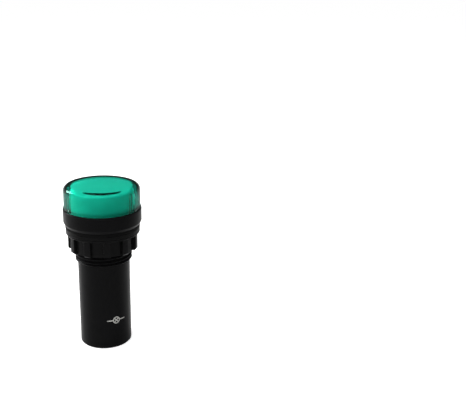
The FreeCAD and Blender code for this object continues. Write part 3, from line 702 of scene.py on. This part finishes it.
@dataclass
class Workshop:
    """Keeps the materials as they are made, and dresses pieces with them."""

    effects: SurfaceEffects = field(default_factory=SurfaceEffects)
    palette: Palette = field(default_factory=Palette)
    made: dict[str, bpy.types.Material] = field(default_factory=dict)

    def material(self, finish: Finish) -> bpy.types.Material:
        """The material of a finish, made the first time that it is asked for.

        Args:
            finish: The finish.

        Returns:
            Its material.
        """
        if finish.name not in self.made:
            self.made[finish.name] = finish.material(self.effects)
        return self.made[finish.name]

    def dress(self, piece: bpy.types.Object, finish: Finish) -> None:
        """Give a piece one finish all over."""
        piece.data.materials.clear()
        piece.data.materials.append(self.material(finish))

    def place(self, piece: bpy.types.Object, finish: Finish, body: str, slot: str, *nodes: str) -> None:
        """Dress a new piece and tie it to the frame.

        Args:
            piece: The new piece.
            finish: Its finish.
            body: The body that it moves with.
            slot: The record's material slot, which is not used.
            nodes: Nodes of the frame that it stands for.
        """
        self.dress(piece, finish)
        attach(piece, body)
        if nodes:
            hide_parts(*nodes)
        LOG.info("%s: %d faces, on %s", piece.name, len(piece.data.polygons), body)

    def keep(self, node: str, finish: Finish) -> None:
        """Give a node of the frame its finish and leave its shape."""
        self.dress(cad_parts[node], finish)
        LOG.info("%s: kept, %s", node, finish.name)


@dataclass
class HousingMoulding:
    """The black moulding: bezel, threaded neck and barrel. Sizes in millimetres."""

    neck_thread: Thread
    barrel_radius: float = 10.0
    barrel_top: float = 34.75
    barrel_bore: float = 8.4
    base_bore: float = 8.8
    base_top: float = 12.6
    foot_bevel: float = 0.4
    foot_round: float = 0.25
    neck_radius: float = 10.88
    neck_lead: float = 0.35
    neck_bore: float = 9.3
    neck_floor: float = 1.4
    bezel_level: float = 49.0
    land_radius: float = 14.2
    bevel_height: float = 1.2
    bevel_round: float = 0.2
    bezel_draft: float = 0.04
    bezel_round: float = 0.4
    board_seat: float = 11.6
    board_level: float = 50.8
    seal_level: float = 52.0
    cap_seat: float = 13.55
    groove_drop: float = 0.7
    groove_height: float = 1.0
    groove_depth: float = 0.3
    rail_inner: float = 7.1
    rail_near: float = 0.9
    rail_width: float = 1.2
    rail_root: float = 0.4
    thread_end: float = 47.9
    thread_fade: float = 0.6
    row_gap: float = 0.1
    sides: int = 192

    def outline(self, radius: float, top: float) -> list[Point]:
        """The moulding's closed outline.

        Args:
            radius: Radius of the bezel at its top.
            top: Level of the bezel's top.

        Returns:
            The outline's points, with fine rows along the neck.
        """
        step = self.neck_bore - self.barrel_bore
        groove = top - self.groove_drop
        points = rounded([
            (self.base_bore, 0.0, FINE),
            (self.barrel_radius - self.foot_bevel, 0.0, EASED),
            (self.barrel_radius, self.foot_bevel, self.foot_round),
            (self.barrel_radius, self.barrel_top, CRISP),
            (self.neck_radius - self.neck_lead, self.barrel_top, FINE),
            (self.neck_radius, self.barrel_top + self.neck_lead),
            (self.neck_radius, self.bezel_level, EASED),
            (self.land_radius, self.bezel_level, SOFT),
            (radius - self.bezel_draft, self.bezel_level + self.bevel_height, self.bevel_round),
            (radius, top, self.bezel_round),
            (self.cap_seat, top, EASED),
            (self.cap_seat, groove),
            (self.cap_seat + self.groove_depth, groove - self.groove_depth),
            (self.cap_seat + self.groove_depth, groove - self.groove_height + self.groove_depth),
            (self.cap_seat, groove - self.groove_height),
            (self.cap_seat, self.seal_level, FINE),
            (self.board_seat, self.seal_level, FINE),
            (self.board_seat, self.board_level, CRISP),
            (self.neck_bore, self.board_level, FINE),
            (self.neck_bore, self.barrel_top + self.neck_floor + step),
            (self.barrel_bore, self.barrel_top + self.neck_floor),
            (self.barrel_bore, self.base_top, CRISP),
            (self.base_bore, self.base_top, CRISP),
        ])
        return with_rows(points, self.barrel_top * MM, self.bezel_level * MM, self.row_gap * MM)

    def threaded(self, radius: float, level: float, angle: float) -> Point:
        """Sink the thread's groove into the outside of the neck.

        Args:
            radius: Distance from the axis, in metres.
            level: Height, in metres.
            angle: Angle round the axis, in radians.

        Returns:
            The new radius and level.
        """
        if abs(radius - self.neck_radius * MM) > AXIS_GAP:
            return radius, level
        start = (level - (self.barrel_top + self.neck_lead) * MM) / (self.thread_fade * MM)
        end = (self.thread_end * MM - level) / (self.thread_fade * MM)
        share = min(1.0, max(0.0, start), max(0.0, end))
        return radius - self.neck_thread.depth * share * self.neck_thread.groove(level, angle), level

    def build(self, shop: Workshop) -> None:
        """Make the moulding with its thread and rails, and put it for the housing node.

        Args:
            shop: Where the finishes are kept.
        """
        _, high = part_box("housing")
        shell = bmesh.new()
        add_turned(shell, self.outline(high.x / MM, high.z / MM), even_angles(self.sides), self.threaded)
        for across in (-1, 1):
            for along in (-1, 1):
                near, far = sorted((along * self.rail_near, along * (self.rail_near + self.rail_width)))
                root = self.barrel_bore + self.rail_root
                inner, outer = sorted((across * self.rail_inner, across * root))
                add_block(shell, (inner * MM, near * MM, self.base_top * MM),
                          (outer * MM, far * MM, self.barrel_top * MM))
        moulding = new_piece("housing_moulding", shell)
        shop.place(moulding, shop.palette.housing, "housing", "housing", "housing")


@dataclass
class LampSymbol:
    """A generic circuit symbol of a lamp, printed on the front of the barrel. Sizes in millimetres."""

    barrel_radius: float = 10.0
    middle_level: float = 11.8
    ring_radius: float = 1.25
    line_width: float = 0.42
    lead_length: float = 2.3
    ink_height: float = 0.02
    front_angle: float = -90.0
    ring_steps: int = 40
    cross_steps: int = 4
    lead_steps: int = 8

    def add_stroke(self, shell: bmesh.types.BMesh, path: Sequence[Point], closed: bool = False) -> None:
        """Add one printed line that follows the barrel.

        Args:
            shell: The shell that takes it.
            path: Points along its middle, round the barrel and up from the symbol's middle.
            closed: Whether the line comes back to its start.
        """
        sections = []
        for index, (across, up) in enumerate(path):
            before = path[index - 1] if closed or index else path[index]
            after = path[(index + 1) % len(path)] if closed or index + 1 < len(path) else path[index]
            along = Vector((after[0] - before[0], after[1] - before[1])).normalized()
            aside = Vector((-along.y, along.x)) * self.line_width / 2
            section = []
            for side, height in ((-1, -self.ink_height), (1, -self.ink_height), (1, self.ink_height),
                                 (-1, self.ink_height)):
                angle = math.radians(self.front_angle) + (across + side * aside.x) / self.barrel_radius
                far = (self.barrel_radius + height) * MM
                level = (self.middle_level + up + side * aside.y) * MM
                section.append(shell.verts.new((far * math.cos(angle), far * math.sin(angle), level)))
            sections.append(section)
        pairs = list(zip(sections, sections[1:]))
        if closed:
            pairs.append((sections[-1], sections[0]))
        else:
            shell.faces.new(sections[0])
            shell.faces.new(sections[-1])
        for first, second in pairs:
            for corner in range(len(first)):
                other = (corner + 1) % len(first)
                shell.faces.new((first[corner], first[other], second[other], second[corner]))

    def build(self, shop: Workshop) -> None:
        """Print the ring, its cross and the two leads.

        Args:
            shop: Where the finishes are kept.
        """
        shell = bmesh.new()
        turns = [step * math.tau / self.ring_steps for step in range(self.ring_steps)]
        ring = [(self.ring_radius * math.cos(turn), self.ring_radius * math.sin(turn)) for turn in turns]
        self.add_stroke(shell, ring, closed=True)
        reach = (self.ring_radius - self.line_width / 2) * math.sqrt(0.5)
        start = self.ring_radius + self.line_width / 2
        arm_steps = range(-self.cross_steps, self.cross_steps + 1)
        arms = [reach * step / self.cross_steps for step in arm_steps]
        leads = [start + self.lead_length * step / self.lead_steps for step in range(self.lead_steps + 1)]
        for side in (-1, 1):
            self.add_stroke(shell, [(arm, side * arm) for arm in arms])
            self.add_stroke(shell, [(side * lead, 0.0) for lead in leads])
        shop.place(new_piece("lamp_symbol", shell), shop.palette.ink, "housing", "housing")


@dataclass
class LensAssembly:
    """The clear cap and the diffuser under it. Sizes in millimetres."""

    spigot_level: float = 53.0
    spigot_radius: float = 13.5
    cap_wall: float = 2.2
    cap_roof: float = 1.5
    edge_round: float = 2.1
    inner_round: float = 1.0
    base_round: float = 0.25
    lip_height: float = 0.9
    lip_step: float = 0.07
    bead_depth: float = 0.25
    bead_level: float = 53.75
    bead_height: float = 0.9
    bead_slope: float = 0.3
    rib_depth: float = 0.35
    rib_angles: tuple[float, ...] = (-60.9, 59.1, 179.1)
    rib_half: float = 2.0
    rib_slope: float = 0.06
    cap_sides: int = 224
    flange_radius: float = 12.15
    flange_height: float = 0.8
    cup_radius: float = 11.8
    cup_wall: float = 1.0
    cup_round: float = 0.45
    cup_inner_round: float = 0.4
    cup_sides: int = 192

    def ribbed(self, inside: float, top: float) -> Reshape:
        """How the ribs stand out from the cap's inner wall.

        Args:
            inside: Radius of the inner wall, in metres.
            top: Level where the ribs end, in metres.

        Returns:
            The reshaping of the cap's turned outline.
        """
        def with_ribs(radius: float, level: float, angle: float) -> Point:
            """Raise the ribs from the inner wall.

            Args:
                radius: Distance from the axis, in metres.
                level: Height, in metres.
                angle: Angle round the axis, in radians.

            Returns:
                The new radius and level.
            """
            if abs(radius - inside) > AXIS_GAP or level > top + AXIS_GAP:
                return radius, level
            for middle in self.rib_angles:
                off = abs((angle - math.radians(middle) + math.pi) % math.tau - math.pi)
                if off < math.radians(self.rib_half):
                    return radius - self.rib_depth * MM, level
            return radius, level

        return with_ribs

    def build_cap(self, shop: Workshop) -> None:
        """Make the clear cap with its spigot, snap bead and ribs.

        Args:
            shop: Where the finishes are kept.
        """
        _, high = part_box("lens_cap")
        _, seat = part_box("housing")
        radius, top, rest = high.x / MM, high.z / MM, seat.z / MM
        inside = radius - self.cap_wall
        bead_top = self.bead_level + self.bead_height
        outline = rounded([
            (inside, self.spigot_level),
            (self.spigot_radius, self.spigot_level, SOFT),
            (self.spigot_radius, self.bead_level),
            (self.spigot_radius + self.bead_depth, self.bead_level + self.bead_slope),
            (self.spigot_radius + self.bead_depth, bead_top - self.bead_slope),
            (self.spigot_radius, bead_top),
            (self.spigot_radius, rest, CRISP),
            (radius, rest, self.base_round),
            (radius, rest + self.lip_height, EASED),
            (radius - self.lip_step, rest + self.lip_height + self.lip_step, EASED),
            (radius - self.lip_step, top, self.edge_round),
            (0.0, top),
            (0.0, top - self.cap_roof),
            (inside, top - self.cap_roof, self.inner_round),
        ], steps=12)
        edges = [math.radians(middle + side * (self.rib_half + slope)) for middle in self.rib_angles
                 for side in (-1, 1) for slope in (-self.rib_slope, self.rib_slope)]
        ribs = self.ribbed(inside * MM, (top - self.cap_roof - self.inner_round) * MM)
        cap = turned_piece("clear_cap", outline, even_angles(self.cap_sides, edges), ribs)
        shop.place(cap, shop.palette.lens, "housing", "lens", "lens_cap")

    def build_diffuser(self, shop: Workshop) -> None:
        """Make the milky cup that stands on the diodes' board.

        Args:
            shop: Where the finishes are kept.
        """
        low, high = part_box("diffuser")
        foot, top = low.z / MM, high.z / MM
        inside = self.cup_radius - self.cup_wall
        outline = rounded([
            (inside, foot),
            (self.flange_radius, foot, EASED),
            (self.flange_radius, foot + self.flange_height, EASED),
            (self.cup_radius, foot + self.flange_height, EASED),
            (self.cup_radius, top, self.cup_round),
            (0.0, top),
            (0.0, top - self.cup_wall),
            (inside, top - self.cup_wall, self.cup_inner_round),
        ], steps=8)
        cup = turned_piece("diffuser_cup", outline, even_angles(self.cup_sides))
        shop.place(cup, shop.palette.diffuser, "housing", "diffuser", "diffuser")

    def build(self, shop: Workshop) -> None:
        """Make the cap and the cup, and dress the seal between cap and housing.

        Args:
            shop: Where the finishes are kept.
        """
        self.build_cap(shop)
        self.build_diffuser(shop)
        shop.keep("lens_seal", shop.palette.gasket)


@dataclass
class NeckRings:
    """Gasket, washer and ring nut on the neck. Sizes in millimetres."""

    neck_thread: Thread
    gasket_bore: float = 10.93
    gasket_round: float = 0.25
    washer_bore: float = 11.2
    washer_bevel: float = 0.15
    nut_bore: float = 10.93
    nut_bevel: float = 0.5
    nut_core: float = 12.15
    flange_height: float = 0.9
    flange_bevel: float = 0.3
    tooth_depth: float = 1.25
    tooth_bevel: float = 0.5
    tooth_count: int = 11
    tooth_turn: float = 22.6
    tooth_half: float = 6.0
    crown_edge: float = 0.9
    crown_middle: float = 0.5
    crown_fall: float = 0.07
    flank_half: float = 0.15
    thread_relief: float = 0.25
    thread_share: float = 0.7
    row_gap: float = 0.12
    ring_sides: int = 160
    nut_sides: int = 176

    def build_gasket(self, shop: Workshop) -> None:
        """Make the rubber ring under the bezel.

        Args:
            shop: Where the finishes are kept.
        """
        low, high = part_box("panel_gasket")
        radius, foot, top = high.x / MM, low.z / MM, high.z / MM
        outline = rounded([(self.gasket_bore, foot), (radius, foot, self.gasket_round),
                           (radius, top, self.gasket_round), (self.gasket_bore, top)])
        gasket = turned_piece("neck_gasket", outline, even_angles(self.ring_sides))
        shop.place(gasket, shop.palette.gasket, "housing", "gasket", "panel_gasket")

    def build_washer(self, shop: Workshop) -> None:
        """Make the plastic ring under the gasket.

        Args:
            shop: Where the finishes are kept.
        """
        low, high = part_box("panel_washer")
        radius, foot, top = high.x / MM, low.z / MM, high.z / MM
        bevel = self.washer_bevel
        outline = rounded([
            (self.washer_bore, foot),
            (radius - bevel, foot, KEEN),
            (radius, foot + bevel, KEEN),
            (radius, top - bevel, KEEN),
            (radius - bevel, top, KEEN),
            (self.washer_bore, top),
        ])
        washer = turned_piece("neck_washer", outline, even_angles(self.ring_sides))
        shop.place(washer, shop.palette.washer, "washer", "washer", "panel_washer")

    def tooth_share(self, angle: float) -> float:
        """How far a tooth stands out at an angle, from 0 between teeth to 1 on one.

        Args:
            angle: Angle round the axis, in radians.

        Returns:
            The share of the tooth's full depth.
        """
        pitch = math.tau / self.tooth_count
        off = (angle - math.radians(self.tooth_turn) + pitch / 2) % pitch - pitch / 2
        off = abs(math.degrees(off)) - self.tooth_half
        if off < -self.crown_edge:
            return 1.0
        if off < -self.flank_half:
            along = (off + self.crown_edge) / (self.crown_edge - self.flank_half)
            return 1.0 - self.crown_fall * along ** 2
        return max(0.0, (1.0 - self.crown_fall) * (self.flank_half - off) / (2 * self.flank_half))

    def toothed(self, foot: float, flange: float) -> Reshape:
        """How the teeth and the inner thread stand out from the nut's plain outline.

        Args:
            foot: Level of the nut's lower face, in metres.
            flange: Level of the flange's lower face, in metres.

        Returns:
            The reshaping of the nut's turned outline.
        """
        def with_teeth(radius: float, level: float, angle: float) -> Point:
            """Raise the teeth outside and the thread inside.

            Args:
                radius: Distance from the axis, in metres.
                level: Height, in metres.
                angle: Angle round the axis, in radians.

            Returns:
                The new radius and level.
            """
            if abs(radius - self.nut_core * MM) < AXIS_GAP and level < flange + AXIS_GAP:
                bevel = max(0.0, self.tooth_bevel * MM - (level - foot))
                return radius + (self.tooth_depth * MM - bevel) * self.tooth_share(angle), level
            if abs(radius - self.nut_bore * MM) < AXIS_GAP:
                ridge = max(0.0, self.neck_thread.groove(level, angle) - self.thread_relief)
                return radius - self.neck_thread.depth * self.thread_share * ridge, level
            return radius, level

        return with_teeth

    def build_nut(self, shop: Workshop) -> None:
        """Make the ring nut with its flange, grip teeth and inner thread.

        Args:
            shop: Where the finishes are kept.
        """
        low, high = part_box("panel_nut")
        radius, foot, top = high.x / MM, low.z / MM, high.z / MM
        flange = top - self.flange_height
        points = rounded([
            (self.nut_bore + self.nut_bevel, foot, KEEN),
            (self.nut_core, foot),
            (self.nut_core, foot + self.tooth_bevel),
            (self.nut_core, flange),
            (radius - self.flange_bevel, flange, CRISP),
            (radius, flange + self.flange_bevel, FINE),
            (radius, top, SOFT),
            (self.nut_bore + self.nut_bevel, top, KEEN),
            (self.nut_bore, top - self.nut_bevel),
            (self.nut_bore, foot + self.nut_bevel),
        ])
        inside = self.nut_bore * MM + AXIS_GAP
        outline = []
        for index, point in enumerate(points):
            following = points[(index + 1) % len(points)]
            if point[0] < inside and following[0] < inside:
                outline += with_rows([point, following], low.z, high.z, self.row_gap * MM)[:-1]
            else:
                outline.append(point)
        middles = [self.tooth_turn + tooth * 360 / self.tooth_count for tooth in range(self.tooth_count)]
        steps = (-self.crown_edge, -self.crown_middle, -self.flank_half, self.flank_half)
        edges = [math.radians(middle + side * (self.tooth_half + step))
                 for middle in middles for side in (-1, 1) for step in steps]
        nut = turned_piece("ring_nut", outline, even_angles(self.nut_sides, edges),
                           self.toothed(low.z, flange * MM))
        shop.place(nut, shop.palette.nut, "nut", "nut", "panel_nut")

    def build(self, shop: Workshop) -> None:
        """Make the three rings.

        Args:
            shop: Where the finishes are kept.
        """
        self.build_gasket(shop)
        self.build_washer(shop)
        self.build_nut(shop)


@dataclass
class RearTerminals:
    """Moulded base, brass plates, clamp washers and screws in the rear. Sizes in millimetres."""

    head_height: float = 2.0
    head_bevel: float = 0.6
    face_round: float = 0.45
    rim_round: float = 0.3
    shank_radius: float = 1.5
    tip_bevel: float = 0.4
    thread_pitch: float = 0.5
    thread_depth: float = 0.27
    thread_start: float = 0.2
    row_gap: float = 0.06
    sides: int = 64
    slot_width: float = 0.8
    slot_depth: float = 0.9
    slot_reach: float = 1.2
    cross_length: float = 3.4

    def cut_slots(self, piece: bpy.types.Object, middle: Vector, face: float, radius: float) -> None:
        """Cut the slot and the shorter cross slot into a screw's head.

        Args:
            piece: The screw.
            middle: Where its axis stands.
            face: Level of the head's outer face.
            radius: Radius of the head.
        """
        half = self.slot_width / 2 * MM
        for along, across in ((radius * self.slot_reach, half), (half, self.cross_length / 2 * MM)):
            cutter_shell = bmesh.new()
            add_block(cutter_shell, (middle.x - along, middle.y - across, face - self.slot_depth * MM),
                      (middle.x + along, middle.y + across, face + self.slot_depth * MM))
            cutter = new_piece("slot_cutter", cutter_shell)
            cut = piece.modifiers.new("slot", "BOOLEAN")
            cut.object = cutter
            cut.operation = "DIFFERENCE"
            cut.solver = "EXACT"
            whole = piece.evaluated_get(bpy.context.evaluated_depsgraph_get())
            mesh = bpy.data.meshes.new_from_object(whole)
            piece.modifiers.clear()
            old, piece.data = piece.data, mesh
            bpy.data.meshes.remove(old)
            bpy.data.objects.remove(cutter)
        piece.data.name = piece.name

    def build_screw(self, shop: Workshop, side: str) -> None:
        """Make a pan head screw with a rolled thread.

        Args:
            shop: Where the finishes are kept.
            side: Letter of the terminal.
        """
        node = f"terminal_screw_{side}"
        low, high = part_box(node)
        middle = (low + high) / 2
        head, face, tip = (high.x - low.x) / 2 / MM, low.z / MM, high.z / MM
        seat = face + self.head_height
        thread = Thread(self.thread_pitch * MM, self.thread_depth * MM, seat * MM, 0.0)
        outline = with_rows(rounded([
            (0.0, face),
            (head - self.head_bevel, face, self.face_round),
            (head, face + self.head_bevel, self.rim_round),
            (head, seat, FINE),
            (self.shank_radius, seat),
            (self.shank_radius, tip - self.tip_bevel),
            (self.shank_radius - self.tip_bevel, tip, CRISP),
            (0.0, tip),
        ]), seat * MM, tip * MM, self.row_gap * MM)

        def threaded(radius: float, level: float, angle: float) -> Point:
            """Sink the rolled thread into the shank.

            Args:
                radius: Distance from the axis, in metres.
                level: Height, in metres.
                angle: Angle round the axis, in radians.

            Returns:
                The new radius and level.
            """
            if abs(radius - self.shank_radius * MM) > AXIS_GAP or level < (seat + self.thread_start) * MM:
                return radius, level
            return radius - thread.depth * thread.groove(level, angle), level

        piece = turned_piece(f"pan_screw_{side}", outline, even_angles(self.sides), threaded,
                             (middle.x, middle.y))
        self.cut_slots(piece, middle, face * MM, head * MM)
        shop.place(piece, shop.palette.steel, f"screw_{side}", "steel", node)

    def build(self, shop: Workshop) -> None:
        """Make the screws and dress what stays.

        Args:
            shop: Where the finishes are kept.
        """
        shop.keep("terminal_base", shop.palette.base)
        for side in ("a", "b"):
            shop.keep(f"terminal_plate_{side}", shop.palette.brass)
            shop.keep(f"clamp_washer_{side}", shop.palette.steel)
            self.build_screw(shop, side)


@dataclass
class Electronics:
    """Boards and parts inside, which keep the frame's shapes."""

    def build(self, shop: Workshop) -> None:
        """Dress each board and part.

        Args:
            shop: Where the finishes are kept.
        """
        palette = shop.palette
        for node, finish in (("led_board", palette.lamp_board), ("leds", palette.diode),
                             ("link_pins", palette.tin), ("driver_board", palette.board),
                             ("dropper_capacitor", palette.film), ("smoothing_capacitor", palette.can),
                             ("bridge_rectifier", palette.chip), ("resistors", palette.resistor)):
            shop.keep(node, finish)


@dataclass
class PhotoCamera:
    """Camera at the photograph's angle. Place in millimetres from the middle of the foot."""

    eye: tuple[float, float, float] = (-106.75, -245.5, 139.8)
    ahead: Point = (0.5628, 0.8266)
    pitch: float = 17.5
    roll: float = 1.4
    focal_pixels: float = 722.5
    image_width: int = 466
    sensor_width: float = 36.0
    nearest: float = 0.005

    def directions(self) -> tuple[Vector, Vector, Vector]:
        """Right, up and forward directions of the camera.

        Returns:
            The three directions, each of length 1.
        """
        pitch, roll = math.radians(self.pitch), math.radians(self.roll)
        level = Vector((*self.ahead, 0.0)).normalized()
        forward = level * math.cos(pitch) - UP * math.sin(pitch)
        right = forward.cross(UP).normalized()
        up = right.cross(forward)
        return (right * math.cos(roll) + up * math.sin(roll), up * math.cos(roll) - right * math.sin(roll),
                forward)

    def build(self) -> None:
        """Make the camera and look through it."""
        lens = bpy.data.cameras.new("photo_camera")
        lens.sensor_fit = "HORIZONTAL"
        lens.sensor_width = self.sensor_width
        lens.lens = self.focal_pixels / self.image_width * self.sensor_width
        lens.clip_start = self.nearest
        camera = bpy.data.objects.new("photo_camera", lens)
        right, up, forward = self.directions()
        turned = Matrix((right, up, -forward)).transposed().to_4x4()
        camera.matrix_world = Matrix.Translation(Vector(self.eye) * MM) @ turned
        bpy.context.scene.collection.objects.link(camera)
        bpy.context.scene.camera = camera


@dataclass
class Softbox:
    """A square studio lamp that looks at the object."""

    name: str
    aside: float
    ahead: float
    height: float
    size: float
    power: float

    def build(self, right: Vector, ahead: Vector, target: Vector) -> None:
        """Hang the lamp.

        Args:
            right: Level direction to the picture's right.
            ahead: Level direction into the picture.
            target: What the lamp looks at.
        """
        lamp = bpy.data.lights.new(self.name, "AREA")
        lamp.size = self.size
        lamp.energy = self.power
        holder = bpy.data.objects.new(self.name, lamp)
        place = right * self.aside + ahead * self.ahead + UP * self.height
        turned = (target - place).to_track_quat("-Z", "Y").to_matrix().to_4x4()
        holder.matrix_world = Matrix.Translation(place) @ turned
        bpy.context.scene.collection.objects.link(holder)


@dataclass
class Studio:
    """Pale floor, white surroundings and soft lamps. Sizes in metres."""

    floor_size: float = 24.0
    floor_gap: float = 0.02 * MM
    floor_colour: float = 0.8
    floor_glow: float = 0.74
    floor_glow_mirrored: float = 0.3  # near the object, where the lamps already make the floor nearly white
    room_light: float = 0.32
    backdrop_fade: Point = (0.08, 0.2)
    ceiling: float = 0.1
    softboxes: tuple[Softbox, ...] = (
        Softbox("left_softbox", -0.62, 0.22, 0.34, 0.3, 6.4),
        Softbox("front_softbox", -0.5, -0.6, 0.3, 0.4, 1.1),
        Softbox("right_softbox", 0.7, 0.2, 0.25, 0.4, 0.3),
        Softbox("top_softbox", -0.1, -0.1, 0.8, 0.5, 3.6),
    )

    def build_floor(self) -> None:
        """Lay the floor just under the foot: white to the camera, open from below, taking the shadow."""
        shell = bmesh.new()
        half = self.floor_size / 2
        corners = ((-half, -half), (half, -half), (half, half), (-half, half))
        shell.faces.new([shell.verts.new((x, y, -self.floor_gap)) for x, y in corners])
        floor = new_piece("studio_floor", shell)
        paint = bpy.data.materials.new("pale floor")
        paint.use_nodes = True
        sheet = ShaderSheet(paint.node_tree)
        matt = sheet.add("ShaderNodeBsdfDiffuse", ("Color", (self.floor_colour,) * 3 + (1.0,)))
        seen = sheet.maths("MULTIPLY", sheet.rays(Ray.CAMERA), self.floor_glow)
        mirrored = sheet.maths("MULTIPLY", sheet.rays(Ray.GLOSSY, Ray.TRANSMISSION), self.floor_glow_mirrored)
        glow = sheet.add("ShaderNodeEmission", ("Strength", sheet.maths("MAXIMUM", seen, mirrored)))
        both = sheet.add("ShaderNodeAddShader", (0, matt.outputs[0]), (1, glow.outputs[0]))
        under = sheet.add("ShaderNodeNewGeometry").outputs["Backfacing"]
        see_through = sheet.add("ShaderNodeBsdfTransparent")
        faced = sheet.mix(under, both.outputs[0], see_through.outputs[0])
        sheet.add("ShaderNodeOutputMaterial", ("Surface", faced))
        floor.data.materials.append(paint)
        floor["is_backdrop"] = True

    def build_room(self) -> None:
        """Make the surroundings white to look at and a dim even light on the object.

        Gloss and clear plastic show the white backdrop up to its upper edge, and a dim ceiling above it.
        """
        world = bpy.data.worlds.new("white room")
        world.use_nodes = True
        sheet = ShaderSheet(world.node_tree)
        lit = sheet.add("ShaderNodeBackground", ("Color", WHITE), ("Strength", self.room_light))
        way = sheet.add("ShaderNodeSeparateXYZ", (0, sheet.add("ShaderNodeTexCoord").outputs["Generated"]))
        backdrop = sheet.spread(way.outputs["Z"], *self.backdrop_fade, 1.0, self.ceiling)
        shown = sheet.maths("MAXIMUM", sheet.rays(Ray.CAMERA), backdrop)
        white = sheet.add("ShaderNodeBackground", ("Color", WHITE), ("Strength", shown))
        looked_at = sheet.rays(Ray.CAMERA, Ray.GLOSSY, Ray.TRANSMISSION)
        mixed = sheet.mix(looked_at, lit.outputs[0], white.outputs[0])
        sheet.add("ShaderNodeOutputWorld", ("Surface", mixed))
        bpy.context.scene.world = world

    def build(self, camera: PhotoCamera) -> None:
        """Set the floor, the room and the lamps round the object as the camera sees it.

        Args:
            camera: The camera, which gives the picture's direction.
        """
        self.build_floor()
        self.build_room()
        ahead = Vector((*camera.ahead, 0.0)).normalized()
        right = ahead.cross(UP)
        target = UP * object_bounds()[1][2] / 2
        for softbox in self.softboxes:
            softbox.build(right, ahead, target)
        bpy.context.scene.view_settings.view_transform = "Standard"


def main() -> None:
    """Build the light's pieces, the camera and the studio."""
    logging.basicConfig(level=logging.INFO, format="%(message)s")
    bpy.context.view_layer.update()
    shop = Workshop()
    neck_thread = Thread(pitch=1.5 * MM, depth=0.75 * MM, crest_level=36.15 * MM,
                         crest_angle=math.radians(-113.5))
    HousingMoulding(neck_thread).build(shop)
    LampSymbol().build(shop)
    LensAssembly().build(shop)
    NeckRings(neck_thread).build(shop)
    RearTerminals().build(shop)
    Electronics().build(shop)
    camera = PhotoCamera()
    camera.build()
    Studio().build(camera)


if __name__ == "__main__":
    main()
